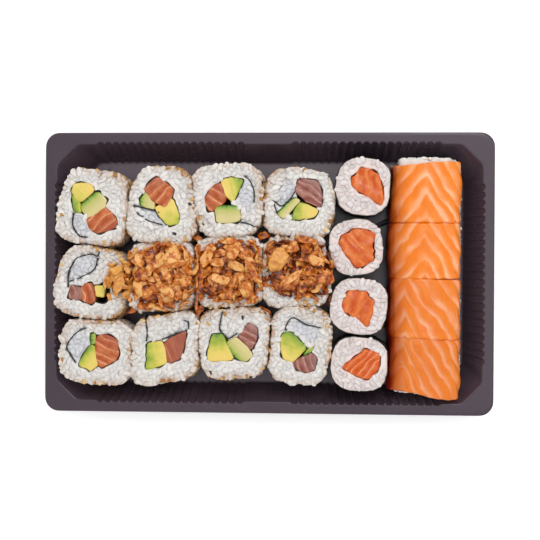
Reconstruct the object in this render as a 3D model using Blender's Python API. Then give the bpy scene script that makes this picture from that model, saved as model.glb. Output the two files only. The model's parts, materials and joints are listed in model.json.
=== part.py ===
"""A takeaway tray of sushi, modelled in metres with +Z up.

The black tray lies on z = 0 with its middle on the origin and its long side along X. Inside it, from the
left, lie three rows of four inside-out rolls, a column of four thin rolls wrapped in seaweed, and a column
of four rolls with salmon laid over them. Fried onion is heaped on the middle row.
"""

import math
import random

import bmesh
import bpy
from mathutils import Euler, Matrix, Vector, noise

MM = 0.001
GAP = 0.3 * MM  # air kept between pieces that touch

# The tray, thermoformed from one sheet
TRAY_LENGTH = 240 * MM
TRAY_WIDTH = 150 * MM
TRAY_HEIGHT = 20 * MM
SHEET = 0.8 * MM
RIM_WIDTH = 6.3 * MM  # from the outer edge to the ribs of the wall
RIM_CORNER = 7.5 * MM
LIP_DROP = 2.4 * MM
WALL_SLOPE = 8.6 * MM  # how far a wall leans in on its way down to the floor
CORNER_CUT_TOP = 11 * MM
CORNER_CUT_FLOOR = 11.5 * MM

# The flutes in its walls
FLUTE_PITCH = 4.2 * MM
FLUTE_DEPTH = 1.2 * MM
FLUTE_SHOULDER = 1.3 * MM  # from a rib to the flat of the groove
LONG_SIDE_FLUTES = 19  # in each of the two groups on a long wall
SHORT_SIDE_FLUTES = 23
PANEL_WIDTH = 25 * MM  # the plain panel between the two groups
FLUTE_CONVERGE = 0.97  # flutes stand closer at the floor
FLOOR_DEPTH_LONG = 0.5  # share of the flute's depth left at the floor
FLOOR_DEPTH_SHORT = 0.1

FLOOR_TOP = SHEET
FOOD_BASE = FLOOR_TOP + GAP

# The inside-out rolls: three rows of four
COLUMN_PITCH = 36.4 * MM
FIRST_COLUMN = -91.9 * MM
ROW_PITCH = 37.8 * MM
MIDDLE_ROW = -1.5 * MM
ROW_RISE = 1.4 * MM  # each row climbs a little from column to column
RICE_FOOT = 1.6 * MM  # how far the lower edge is rounded in
RICE_EDGE = 1.5 * MM  # the same for the upper edge
RICE_BELLY = 0.3 * MM  # how far the side swells out half way up
RICE_WALL = 8.6 * MM  # rice round the filling
SEAM_WIDTH = 0.5 * MM  # the seaweed's line round the filling
SEAM_DEPTH = 0.8 * MM
FILLING_EDGE = 0.9 * MM  # from that line to the flat of the filling
EDGE_DROP = 0.2 * MM  # how much lower an edge is than the flat beside it
# Nudge x and y, width, depth and height in mm, turn in degrees, squareness, taper towards +Y, lean
URAMAKI = (
    (-0.4, 0.3, 36.3, 39.2, 28.6, -9, 3.4, -0.06, 0.00),
    (0.0, 0.3, 36.3, 39.6, 29.2, -4, 3.0, -0.16, 0.00),
    (-1.3, 0.8, 37.8, 38.9, 29.0, 5, 2.8, 0.08, 0.00),
    (-0.3, -1.4, 37.2, 36.4, 28.2, -6, 3.0, 0.00, 0.00),
    (-0.8, -2.0, 38.4, 38.5, 28.8, -12, 3.0, -0.04, 0.00),
    (-0.1, 0.2, 35.6, 36.6, 28.4, 0, 3.6, 0.00, 0.02),
    (-0.8, 1.4, 35.6, 37.0, 28.4, 2, 3.6, 0.00, 0.04),
    (-1.5, 0.3, 36.4, 37.4, 28.4, 0, 3.2, 0.00, 0.04),
    (1.5, -0.7, 38.0, 34.0, 28.8, -4, 3.2, 0.00, 0.00),
    (2.0, -0.2, 35.6, 36.0, 29.0, 0, 3.8, 0.00, 0.14),
    (2.1, 1.4, 37.0, 37.1, 28.6, 0, 3.4, 0.08, 0.04),
    (0.8, -0.6, 32.0, 39.0, 28.4, -3, 3.2, 0.00, 0.00),
)

# The thin rolls: one column
HOSOMAKI_PITCH = 31 * MM
HOSOMAKI_X = 48.7 * MM
HOSOMAKI_Y = -1.2 * MM
HOSOMAKI_EDGE = 1.2 * MM  # the seaweed's rounded upper edge
HOSOMAKI_FOOT = 0.3 * MM
HOSOMAKI_RICE = 7.0 * MM  # rice round the salmon
SKIN_LUMP = 0.3 * MM  # how uneven the seaweed lies on the rice
# Nudge x and y, width, depth and height in mm, turn in degrees, squareness
HOSOMAKI = (
    (1.9, 0.3, 30.3, 31.0, 28.6, -8, 2.5),
    (-1.9, -0.4, 29.2, 30.4, 28.2, 6, 2.6),
    (-0.1, -0.3, 30.9, 30.4, 28.8, -10, 2.7),
    (0.3, 0.4, 30.6, 29.2, 28.4, -5, 2.8),
)

# The salmon rolls, lying end to end
SALMON_ROLL_X = 83.0 * MM
SALMON_ROLL_WIDTH = 38.4 * MM
SALMON_ROLL_ARCH = 2.6 * MM  # how much higher the middle is than the shoulders
SALMON_SHOULDER = 8.0 * MM
SALMON_SLICE = 4.0 * MM  # how thick it is
SALMON_EDGE = 0.4 * MM  # the slice's rounded ends
SALMON_SWELL = 0.2 * MM  # how far its middle stands proud
SALMON_TUCK = 1.2 * MM  # how far it is tucked in under the roll
RICE_STEP = 1.0 * MM  # how far the rice stands back at the ends
# Middle along Y, length and height in mm
SALMON_ROLLS = (
    (43.6, 33.0, 29.0),
    (12.3, 28.8, 28.4),
    (-17.6, 30.2, 28.8),
    (-48.4, 30.6, 28.0),
)

# The fried onion
HEAP_HEIGHT = 4.6 * MM
HEAP_CORE = 0.9  # the smooth core's size beside the whole heap's
CORE_SIDES = 14
FLAKES_PER_HEAP = 15  # on a heap that covers a whole roll
FULL_HEAP_AREA = 34 * 30 * MM * MM
FLAKE_LENGTH = (4.0 * MM, 6.5 * MM)  # half of it, shortest and longest
FLAKE_WIDTH = (1.6 * MM, 2.6 * MM)
FLAKE_THICKNESS = (0.9 * MM, 1.3 * MM)
FLAKE_CURL = (-0.8 * MM, 1.6 * MM)  # how far its ends bend up
FLAKE_TILT = 0.6  # radians, either way
FLAKE_CORNERS = ((-1, 0.1), (-0.4, 1), (0.5, 0.8), (1, -0.1), (0.4, -1), (-0.5, -0.8))
GOLDEN_ANGLE = math.radians(137.5)
FLAKE_LIFT = 0.2 * MM  # the lowest that a flake comes above its heap's base
# Roll under the heap, nudge x and y, width and depth in mm
HEAPS = (
    (6, 0.4, 0.4, 34.0, 30.0),
    (7, 0.3, 0.6, 33.6, 31.0),
    (8, 0.6, 2.0, 34.0, 27.0),
    (5, 14.4, 1.6, 8.6, 15.0),
)

# The bumps of the rice
GRAIN = 3.0 * MM  # about as far apart as the grains
SIDE_LUMP = 0.55 * MM
TOP_LUMP = 0.3 * MM
NEIGHBOUR_REACH = 60 * MM  # pieces further apart than this can't touch

# Colour, roughness and metallic value of each finish
FINISHES = {
    "black_plastic": ((0.022, 0.018, 0.021), 0.35, 0.0),
    "sushi_rice": ((0.76, 0.73, 0.70), 0.55, 0.0),
    "seaweed": ((0.012, 0.014, 0.010), 0.50, 0.0),
    "raw_salmon": ((0.88, 0.27, 0.06), 0.35, 0.0),
    "fried_onion": ((0.47, 0.17, 0.045), 0.55, 0.0),
}


def clear_scene():
    """Removes the objects that a new Blender file opens with."""
    for item in list(bpy.data.objects):
        bpy.data.objects.remove(item)


def finish(name):
    """The material for one of the finishes, in a copy of its own for each object."""
    colour, roughness, metallic = FINISHES[name]
    material = bpy.data.materials.new(name)
    material.use_nodes = True
    shader = material.node_tree.nodes["Principled BSDF"]
    shader.inputs["Base Color"].default_value = (*colour, 1.0)
    shader.inputs["Roughness"].default_value = roughness
    shader.inputs["Metallic"].default_value = metallic
    return material


def add_object(name, mesh_data, material, place=(0, 0, 0), smooth_below=40):
    """Closes a bmesh into a named object in the scene, with round parts shaded smooth."""
    bmesh.ops.recalc_face_normals(mesh_data, faces=mesh_data.faces)
    mesh = bpy.data.meshes.new(name)
    mesh_data.to_mesh(mesh)
    mesh_data.free()
    mesh.shade_smooth()
    mesh.set_sharp_from_angle(angle=math.radians(smooth_below))
    mesh.materials.append(finish(material))
    item = bpy.data.objects.new(name, mesh)
    item.location = place
    bpy.context.scene.collection.objects.link(item)
    return item


# Shared shapes


def add_loop(mesh, points):
    """New vertices at these points, in order."""
    return [mesh.verts.new(point) for point in points]


def join_loops(mesh, lower, upper):
    """A band of faces between two closed loops of as many vertices."""
    count = len(lower)
    for i in range(count):
        j = (i + 1) % count
        mesh.faces.new((lower[i], lower[j], upper[j], upper[i]))


def fan(mesh, loop, point):
    """Triangles from a closed loop to one point."""
    middle = mesh.verts.new(point)
    for i, vertex in enumerate(loop):
        mesh.faces.new((vertex, loop[(i + 1) % len(loop)], middle))


def stacked_solid(rings, bottom, top):
    """A closed bmesh through these rings, from a bottom point to a top point."""
    mesh = bmesh.new()
    loops = [add_loop(mesh, ring) for ring in rings]
    for lower, upper in zip(loops, loops[1:]):
        join_loops(mesh, lower, upper)
    fan(mesh, loops[0], bottom)
    fan(mesh, loops[-1], top)
    return mesh


def superellipse(half_x, half_y, squareness, angle):
    """A point of a rounded square: 2 gives an ellipse, and a larger squareness gives squarer corners."""
    c, s = math.cos(angle), math.sin(angle)
    power = 2 / squareness
    x = half_x * math.copysign(abs(c) ** power, c)
    y = half_y * math.copysign(abs(s) ** power, s)
    return Vector((x, y, 0))


# The tray


def side_grooves(long_side):
    """Where each groove of one wall starts and ends, from the wall's middle. The panel is one too."""
    if not long_side:
        start = -SHORT_SIDE_FLUTES * FLUTE_PITCH / 2
        return [(start + i * FLUTE_PITCH, start + (i + 1) * FLUTE_PITCH) for i in range(SHORT_SIDE_FLUTES)]
    half_panel = PANEL_WIDTH / 2
    right = [
        (half_panel + i * FLUTE_PITCH, half_panel + (i + 1) * FLUTE_PITCH) for i in range(LONG_SIDE_FLUTES)
    ]
    left = [(-end, -start) for start, end in reversed(right)]
    return [*left, (-half_panel, half_panel), *right]


def side_profile(long_side):
    """(place along the wall, share of the flute's depth) for the points of one wall."""
    grooves = side_grooves(long_side)
    points = []
    for start, end in grooves:
        points += [(start, 0), (start + FLUTE_SHOULDER, 1), (end - FLUTE_SHOULDER, 1)]
    return [*points, (grooves[-1][1], 0)]


def wall_half_sizes(share):
    """Half length and half width between the ribs, where share is 0 at the floor and 1 at the rim."""
    lean = WALL_SLOPE * (1 - share)
    return TRAY_LENGTH / 2 - RIM_WIDTH - lean, TRAY_WIDTH / 2 - RIM_WIDTH - lean


def corner_cut(share):
    return CORNER_CUT_FLOOR + (CORNER_CUT_TOP - CORNER_CUT_FLOOR) * share


def wall_loop(share, z, outward=0.0):
    """The fluted eight-sided outline of the wall at one height, moved outward by a wall's thickness."""
    half_x, half_y = (half + outward for half in wall_half_sizes(share))
    cut = corner_cut(share) + outward * (2 - math.sqrt(2))
    spread = FLUTE_CONVERGE + (1 - FLUTE_CONVERGE) * share
    points = []
    for quarter in range(4):
        long_side = quarter % 2 == 0
        across, along = (half_y, half_x) if long_side else (half_x, half_y)
        floor_depth = FLOOR_DEPTH_LONG if long_side else FLOOR_DEPTH_SHORT
        depth = FLUTE_DEPTH * (floor_depth + (1 - floor_depth) * share)
        turn = Matrix.Rotation(quarter * math.pi / 2, 3, "Z")
        side = [(cut - along, 0)]
        side += [(place * spread, level) for place, level in side_profile(long_side)]
        side += [(along - cut, 0)]
        points += [turn @ Vector((place, -across - depth * level, 0)) for place, level in side]
    return [point + Vector((0, 0, z)) for point in points]


def rim_loop(inset, z, steps=8):
    """The tray's outer outline, a rectangle with round corners, moved in by inset."""
    radius = RIM_CORNER - inset
    centre_x, centre_y = TRAY_LENGTH / 2 - RIM_CORNER, TRAY_WIDTH / 2 - RIM_CORNER
    points = []
    for quarter, (sign_x, sign_y) in enumerate(((1, 1), (-1, 1), (-1, -1), (1, -1))):
        for step in range(steps + 1):
            angle = (quarter + step / steps) * math.pi / 2
            x = sign_x * centre_x + radius * math.cos(angle)
            y = sign_y * centre_y + radius * math.sin(angle)
            points.append(Vector((x, y, z)))
    return points


def fill_between(mesh, outer, inner, direction):
    """Flat faces between an outer loop and a loop inside it."""
    edges = []
    for loop in (outer, inner):
        for i, vertex in enumerate(loop):
            edges.append(mesh.edges.get((vertex, loop[(i + 1) % len(loop)])))
    bmesh.ops.triangle_fill(mesh, edges=edges, use_beauty=True, use_dissolve=False, normal=direction)


def build_tray():
    """The fluted tray: rim, turned-down lip, four leaning walls with cut corners, and a flat floor."""
    under_rim = TRAY_HEIGHT - SHEET
    under_share = (under_rim - FLOOR_TOP) / (TRAY_HEIGHT - FLOOR_TOP)
    mesh = bmesh.new()
    outer_top = add_loop(mesh, rim_loop(0, TRAY_HEIGHT))
    outer_low = add_loop(mesh, rim_loop(0, TRAY_HEIGHT - LIP_DROP))
    inner_low = add_loop(mesh, rim_loop(SHEET, TRAY_HEIGHT - LIP_DROP))
    inner_top = add_loop(mesh, rim_loop(SHEET, under_rim))
    wall_top = add_loop(mesh, wall_loop(1, TRAY_HEIGHT))
    wall_foot = add_loop(mesh, wall_loop(0, FLOOR_TOP))
    under_foot = add_loop(mesh, wall_loop(0, 0, SHEET))
    under_top = add_loop(mesh, wall_loop(under_share, under_rim, SHEET))
    join_loops(mesh, outer_top, outer_low)
    join_loops(mesh, outer_low, inner_low)
    join_loops(mesh, inner_low, inner_top)
    join_loops(mesh, wall_foot, wall_top)
    join_loops(mesh, under_top, under_foot)
    mesh.faces.new(wall_foot)
    mesh.faces.new(under_foot)
    fill_between(mesh, outer_top, wall_top, (0, 0, 1))
    fill_between(mesh, inner_top, under_top, (0, 0, -1))
    return add_object("tray", mesh, "black_plastic", smooth_below=25)


# How the food settles in the tray


class Footprint:
    """The plan of one piece of food: its middle, its half sizes and how square it is."""

    def __init__(self, x, y, width, depth, squareness):
        self.middle = Vector((x, y, 0))
        self.half_x = width / 2
        self.half_y = depth / 2
        self.squareness = squareness

    def reach(self, direction):
        """How far the outline lies from the middle in this direction."""
        across = abs(direction.x) / self.half_x
        along = abs(direction.y) / self.half_y
        return (across**self.squareness + along**self.squareness) ** (-1 / self.squareness)


def press_on_neighbours(point, own, others):
    """Soft food flattens against its neighbours: no point passes the plane that the two pieces share."""
    for other in others:
        away = other.middle - own.middle
        distance = away.length
        away.normalize()
        own_reach = own.reach(away)
        limit = distance * own_reach / (own_reach + other.reach(away)) - GAP / 2
        excess = (point - own.middle).dot(away) - limit
        if excess > 0:
            point = point - away * excess
    return point


def press_on_wall(point):
    """No point passes the ribs of the tray's leaning walls or its cut corners."""
    if point.z > TRAY_HEIGHT + GAP:
        return point
    share = min(1, max(0, (point.z - FLOOR_TOP) / (TRAY_HEIGHT - FLOOR_TOP)))
    half_x, half_y = (half - GAP for half in wall_half_sizes(share))
    x = math.copysign(min(abs(point.x), half_x), point.x)
    y = math.copysign(min(abs(point.y), half_y), point.y)
    excess = abs(x) + abs(y) - (half_x + half_y - corner_cut(share) - GAP)
    if excess > 0:
        x -= math.copysign(excess / 2, x)
        y -= math.copysign(excess / 2, y)
    return Vector((x, y, point.z))


def settle(point, own, others):
    """A point of the food where its neighbours and the tray leave it."""
    return press_on_wall(press_on_neighbours(point, own, others))


def lump(point, size):
    """Relief about as large as a grain of rice, between minus and plus size."""
    return size * noise.noise(point / GRAIN)


# The rolls


def roll_shape(plan, turn, taper, lean, steps):
    """The outline of a roll round its middle, as unit directions with a length each."""
    turned = Matrix.Rotation(math.radians(turn), 3, "Z")
    points = []
    for step in range(steps):
        angle = 2 * math.pi * (step + 0.5) / steps
        point = superellipse(plan.half_x, plan.half_y, plan.squareness, angle)
        point.x *= 1 + taper * point.y / plan.half_y
        point.y += lean * point.x
        points.append(turned @ point)
    return points


def roll_rings(outline, plan, others, profile):
    """The rings of a roll. The profile gives each ring's inset, its height and the size of its lumps."""
    rings = []
    for inset, z, lumps in profile:
        ring = []
        for point in outline:
            length = point.length - inset
            place = plan.middle + point.normalized() * length
            place.z = z
            swell = lump(place, lumps)
            if inset <= RICE_FOOT:
                place += point.normalized() * swell
            else:
                place.z += swell
            ring.append(settle(place, plan, others))
        rings.append(ring)
    return rings


def build_uramaki(number, plan, row, others, heaped):
    """An inside-out roll standing on its cut end: rice outside, with a seam round the filling on top."""
    height, turn, _, taper, lean = row[4:]
    height *= MM
    top = FOOD_BASE + height
    profile = [
        (RICE_FOOT, FOOD_BASE, 0),
        (0.0, FOOD_BASE + 0.22 * height, SIDE_LUMP),
        (-RICE_BELLY, FOOD_BASE + 0.6 * height, SIDE_LUMP),
        (0.0, FOOD_BASE + 0.92 * height, SIDE_LUMP),
        (RICE_EDGE, top - EDGE_DROP, SIDE_LUMP),
    ]
    if heaped:
        profile += [(RICE_WALL, top, 0)]
    else:
        profile += [
            (RICE_WALL, top, TOP_LUMP),
            (RICE_WALL + SEAM_WIDTH, top - SEAM_DEPTH, 0),
            (RICE_WALL + SEAM_WIDTH + FILLING_EDGE, top - EDGE_DROP, TOP_LUMP),
        ]
    outline = roll_shape(plan, turn, taper, lean, 24)
    rings = roll_rings(outline, plan, others, profile)
    low = Vector((plan.middle.x, plan.middle.y, FOOD_BASE))
    mesh = stacked_solid(rings, low, Vector((low.x, low.y, top)))
    return add_object(f"uramaki_{number:02d}", mesh, "sushi_rice")


def build_hosomaki(number, plan, row, others):
    """A thin roll standing on its cut end: seaweed outside, rice and a strip of salmon on top."""
    height, turn = row[4] * MM, row[5]
    top = FOOD_BASE + height
    profile = [
        (HOSOMAKI_FOOT, FOOD_BASE, 0),
        (0.0, FOOD_BASE + 0.5 * height, SKIN_LUMP),
        (0.0, top - 2 * EDGE_DROP, SKIN_LUMP),
        (HOSOMAKI_EDGE, top, SKIN_LUMP),
        (HOSOMAKI_RICE, top, TOP_LUMP),
        (HOSOMAKI_RICE + SEAM_WIDTH, top - SEAM_DEPTH / 2, 0),
        (HOSOMAKI_RICE + SEAM_WIDTH + FILLING_EDGE, top, TOP_LUMP),
    ]
    outline = roll_shape(plan, turn, 0, 0, 20)
    rings = roll_rings(outline, plan, others, profile)
    low = Vector((plan.middle.x, plan.middle.y, FOOD_BASE))
    mesh = stacked_solid(rings, low, Vector((low.x, low.y, top)))
    return add_object(f"hosomaki_{number}", mesh, "seaweed")


def arch_section(width, height, inset):
    """Half of the salmon roll's section, from the foot at +X to the crown, drawn in by inset."""
    half = width / 2 - inset
    crown = height - inset
    shoulder = SALMON_SHOULDER - inset / 2
    section = [Vector((half - SALMON_TUCK, 0, 0)), Vector((half, 0, 0.25 * height))]
    centre = Vector((half - shoulder, 0, crown - SALMON_ROLL_ARCH - shoulder))
    for degrees in (12, 34, 56, 78):
        angle = math.radians(degrees)
        section.append(centre + shoulder * Vector((math.cos(angle), 0, math.sin(angle))))
    bend = section[-1]
    for share in (0.35, 0.7, 1.0):
        rise = (crown - bend.z) * (1 - (1 - share) ** 2)
        section.append(Vector((bend.x * (1 - share), 0, bend.z + rise)))
    return section


def build_salmon_roll(number, plan, row, others):
    """A roll lying along Y with a slice of salmon over it. The rice stands back at its ends."""
    _, length, height = (size * MM for size in row)
    stations = (
        (-0.5, SALMON_SLICE, RICE_STEP),
        (-0.5, SALMON_EDGE, 0.0),
        (-0.38, 0.0, 0.0),
        (0.0, -SALMON_SWELL, 0.0),
        (0.38, 0.0, 0.0),
        (0.5, SALMON_EDGE, 0.0),
        (0.5, SALMON_SLICE, -RICE_STEP),
    )
    rings = []
    for share, inset, step_in in stations:
        half = arch_section(SALMON_ROLL_WIDTH, height, inset)
        section = half + [Vector((-p.x, p.y, p.z)) for p in reversed(half[:-1])]
        ring = []
        for point in section:
            y = share * length + step_in
            place = plan.middle + Vector((point.x, y, FOOD_BASE + max(point.z, 0)))
            place += Vector((lump(place, SKIN_LUMP), 0, 0))
            ring.append(settle(place, plan, others))
        rings.append(ring)
    mesh = bmesh.new()
    loops = [add_loop(mesh, ring) for ring in rings]
    for lower, upper in zip(loops, loops[1:]):
        join_loops(mesh, lower, upper)
    mesh.faces.new(loops[0])
    mesh.faces.new(loops[-1])
    return add_object(f"salmon_roll_{number}", mesh, "raw_salmon", smooth_below=50)


# The fried onion


def flake_mesh(draw, keep):
    """One bent chip of fried onion as a closed bmesh. keep moves a point back in bounds."""
    length, width = draw.uniform(*FLAKE_LENGTH), draw.uniform(*FLAKE_WIDTH)
    thickness, curl = draw.uniform(*FLAKE_THICKNESS), draw.uniform(*FLAKE_CURL)
    tilt = (draw.uniform(-FLAKE_TILT, FLAKE_TILT), draw.uniform(-FLAKE_TILT, FLAKE_TILT))
    turn = Euler((*tilt, draw.uniform(0, math.pi))).to_matrix().to_4x4()
    place = Matrix.Translation(keep.start) @ turn
    mesh = bmesh.new()
    loops = []
    for level in (-0.5, 0.5):
        points = [
            place @ Vector((x * length, y * width, curl * x * x + level * thickness))
            for x, y in FLAKE_CORNERS
        ]
        lift = FLAKE_LIFT + (0.5 + level) * thickness
        loops.append(add_loop(mesh, [keep.inside(point, lift) for point in points]))
    join_loops(mesh, *loops)
    mesh.faces.new(loops[0])
    mesh.faces.new(loops[1])
    return mesh


class HeapBounds:
    """The space over one roll that its heap may fill, and where the next flake starts."""

    def __init__(self, middle, width, depth, base):
        self.middle, self.half_x, self.half_y, self.base = middle, width / 2, depth / 2, base
        self.start = middle

    def inside(self, point, lift):
        """The point, moved to where it is over the heap's own plan and at least lift above its base."""
        x = min(max(point.x, self.middle.x - self.half_x), self.middle.x + self.half_x)
        y = min(max(point.y, self.middle.y - self.half_y), self.middle.y + self.half_y)
        return Vector((x, y, max(point.z, self.base + lift)))

    def dome(self, x_share, y_share):
        """A point on the heap's smooth core, from shares of its half sizes."""
        fall = max(0.0, 1 - x_share**2) * max(0.0, 1 - y_share**2)
        height = HEAP_HEIGHT * (0.25 + 0.75 * fall**0.5)
        return self.middle + Vector((x_share * self.half_x, y_share * self.half_y, height))


def heap_core(bounds):
    """The low dome that the flakes are fused to."""
    rings = []
    for share, lift in ((1.0, 0.0), (0.97, 0.22), (0.62, 0.75)):
        ring = []
        for step in range(CORE_SIDES):
            angle = 2 * math.pi * step / CORE_SIDES
            point = superellipse(bounds.half_x, bounds.half_y, 3.2, angle) * share * HEAP_CORE
            ring.append(bounds.middle + point + Vector((0, 0, lift * HEAP_HEIGHT)))
        rings.append(ring)
    return stacked_solid(rings, bounds.middle, bounds.middle + Vector((0, 0, HEAP_HEIGHT)))


def helper_object(name, mesh_data, collection):
    """An object that is only there to be joined to another."""
    bmesh.ops.recalc_face_normals(mesh_data, faces=mesh_data.faces)
    mesh = bpy.data.meshes.new(name)
    mesh_data.to_mesh(mesh)
    mesh_data.free()
    item = bpy.data.objects.new(name, mesh)
    collection.objects.link(item)
    return item


def keep_largest_body(item):
    """Drops the scraps that a union leaves loose."""
    mesh = bmesh.new()
    mesh.from_mesh(item.data)
    left = set(mesh.verts)
    bodies = []
    while left:
        body, front = set(), [left.pop()]
        while front:
            vertex = front.pop()
            body.add(vertex)
            for edge in vertex.link_edges:
                other = edge.other_vert(vertex)
                if other in left:
                    left.remove(other)
                    front.append(other)
        bodies.append(body)
    bodies.sort(key=len)
    for body in bodies[:-1]:
        bmesh.ops.delete(mesh, geom=list(body), context="VERTS")
    mesh.to_mesh(item.data)
    mesh.free()


def build_onion_heap(number, roll_top, middle, width, depth):
    """One heap of fried onion: a low core with chips fused all over it."""
    draw = random.Random(number)
    base = roll_top + GAP
    bounds = HeapBounds(Vector((middle.x, middle.y, base)), width, depth, base)
    flakes = bpy.data.collections.new(f"flakes_{number}")
    bpy.context.scene.collection.children.link(flakes)
    count = max(5, round(FLAKES_PER_HEAP * width * depth / FULL_HEAP_AREA))
    for i in range(count):
        angle, reach = i * GOLDEN_ANGLE, 0.86 * math.sqrt((i + 0.5) / count)
        bounds.start = bounds.dome(reach * math.cos(angle), reach * math.sin(angle))
        helper_object(f"flake_{number}_{i}", flake_mesh(draw, bounds), flakes)
    heap = add_object(f"fried_onion_{number}", heap_core(bounds), "fried_onion", smooth_below=15)
    union = heap.modifiers.new("fuse", "BOOLEAN")
    union.operation = "UNION"
    union.operand_type = "COLLECTION"
    union.collection = flakes
    union.solver = "EXACT"
    bpy.context.view_layer.update()
    graph = bpy.context.evaluated_depsgraph_get()
    heap.data = bpy.data.meshes.new_from_object(heap.evaluated_get(graph))
    heap.modifiers.clear()
    for flake in list(flakes.objects):
        bpy.data.objects.remove(flake)
    bpy.data.collections.remove(flakes)
    keep_largest_body(heap)
    return heap


# The whole tray of food


def uramaki_plans():
    plans = []
    for i, (nudge_x, nudge_y, width, depth, _, _, squareness, _, _) in enumerate(URAMAKI):
        row, column = divmod(i, 4)
        x = FIRST_COLUMN + column * COLUMN_PITCH + nudge_x * MM
        y = MIDDLE_ROW + (1 - row) * ROW_PITCH + (column - 1.5) * ROW_RISE + nudge_y * MM
        plans.append(Footprint(x, y, width * MM, depth * MM, squareness))
    return plans


def hosomaki_plans():
    plans = []
    for i, (nudge_x, nudge_y, width, depth, _, _, squareness) in enumerate(HOSOMAKI):
        y = HOSOMAKI_Y + (1.5 - i) * HOSOMAKI_PITCH + nudge_y * MM
        plans.append(Footprint(HOSOMAKI_X + nudge_x * MM, y, width * MM, depth * MM, squareness))
    return plans


def salmon_roll_plans():
    return [
        Footprint(SALMON_ROLL_X, middle * MM, SALMON_ROLL_WIDTH, length * MM, 8)
        for middle, length, _ in SALMON_ROLLS
    ]


def main():
    clear_scene()
    build_tray()
    rice_rolls, thin_rolls, salmon_rolls = uramaki_plans(), hosomaki_plans(), salmon_roll_plans()
    plans = rice_rolls + thin_rolls + salmon_rolls

    def others(plan):
        return [p for p in plans if p is not plan and (p.middle - plan.middle).length < NEIGHBOUR_REACH]

    heaped = {roll for roll, _, _, width, _ in HEAPS if width > 20}
    for number, (plan, row) in enumerate(zip(rice_rolls, URAMAKI), 1):
        build_uramaki(number, plan, row, others(plan), number in heaped)
    for number, (plan, row) in enumerate(zip(thin_rolls, HOSOMAKI), 1):
        build_hosomaki(number, plan, row, others(plan))
    for number, (plan, row) in enumerate(zip(salmon_rolls, SALMON_ROLLS), 1):
        build_salmon_roll(number, plan, row, others(plan))
    for number, (roll, nudge_x, nudge_y, width, depth) in enumerate(HEAPS, 1):
        middle = rice_rolls[roll - 1].middle + Vector((nudge_x * MM, nudge_y * MM, 0))
        roll_top = FOOD_BASE + URAMAKI[roll - 1][4] * MM + (0 if roll in heaped else TOP_LUMP)
        build_onion_heap(number, roll_top, middle, width * MM, depth * MM)


main()
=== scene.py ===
"""Dresses a takeaway tray of sushi: rice grains, seaweed, fillings, salmon slices, fried onion and the tray.

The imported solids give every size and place. All lengths are in metres, and tables marked so are in
millimetres. The food lies in the tray as its solids do, so each piece is built from the surface of its solid.
"""

import json
import math
import random

import bmesh
import bpy
import numpy as np
from mathutils import Euler, Matrix, Vector, noise
from mathutils.bvhtree import BVHTree

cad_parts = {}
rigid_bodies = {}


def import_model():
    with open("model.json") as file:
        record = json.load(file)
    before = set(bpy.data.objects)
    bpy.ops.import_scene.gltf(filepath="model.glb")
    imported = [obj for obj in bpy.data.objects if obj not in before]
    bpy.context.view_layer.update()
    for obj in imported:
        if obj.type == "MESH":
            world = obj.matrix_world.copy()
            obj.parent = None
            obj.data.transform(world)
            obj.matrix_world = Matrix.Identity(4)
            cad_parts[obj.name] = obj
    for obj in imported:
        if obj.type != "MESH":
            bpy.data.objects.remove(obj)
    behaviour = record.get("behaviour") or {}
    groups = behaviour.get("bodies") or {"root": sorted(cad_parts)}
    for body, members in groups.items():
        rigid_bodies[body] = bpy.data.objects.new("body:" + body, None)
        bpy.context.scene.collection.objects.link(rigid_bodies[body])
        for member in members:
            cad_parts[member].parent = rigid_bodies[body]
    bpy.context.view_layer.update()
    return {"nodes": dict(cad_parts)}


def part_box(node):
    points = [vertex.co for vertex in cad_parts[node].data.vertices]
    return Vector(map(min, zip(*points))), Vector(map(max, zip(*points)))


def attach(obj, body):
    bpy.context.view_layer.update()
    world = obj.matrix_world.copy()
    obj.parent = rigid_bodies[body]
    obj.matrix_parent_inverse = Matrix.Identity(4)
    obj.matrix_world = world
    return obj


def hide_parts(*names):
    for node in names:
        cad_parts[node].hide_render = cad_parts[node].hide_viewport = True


bl_info = {
    "name": "Takeaway Sushi Tray",
    "version": (1, 0, 0),
    "blender": (4, 5, 0),
    "location": "View3D > Sidebar > Sushi Tray",
    "description": "Builds a takeaway tray packed with rolls of sushi and fried onion",
    "category": "Add Mesh",
}

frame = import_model()
TRAY_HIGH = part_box("tray")[1]

MM = 0.001
BODY = "root"

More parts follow.
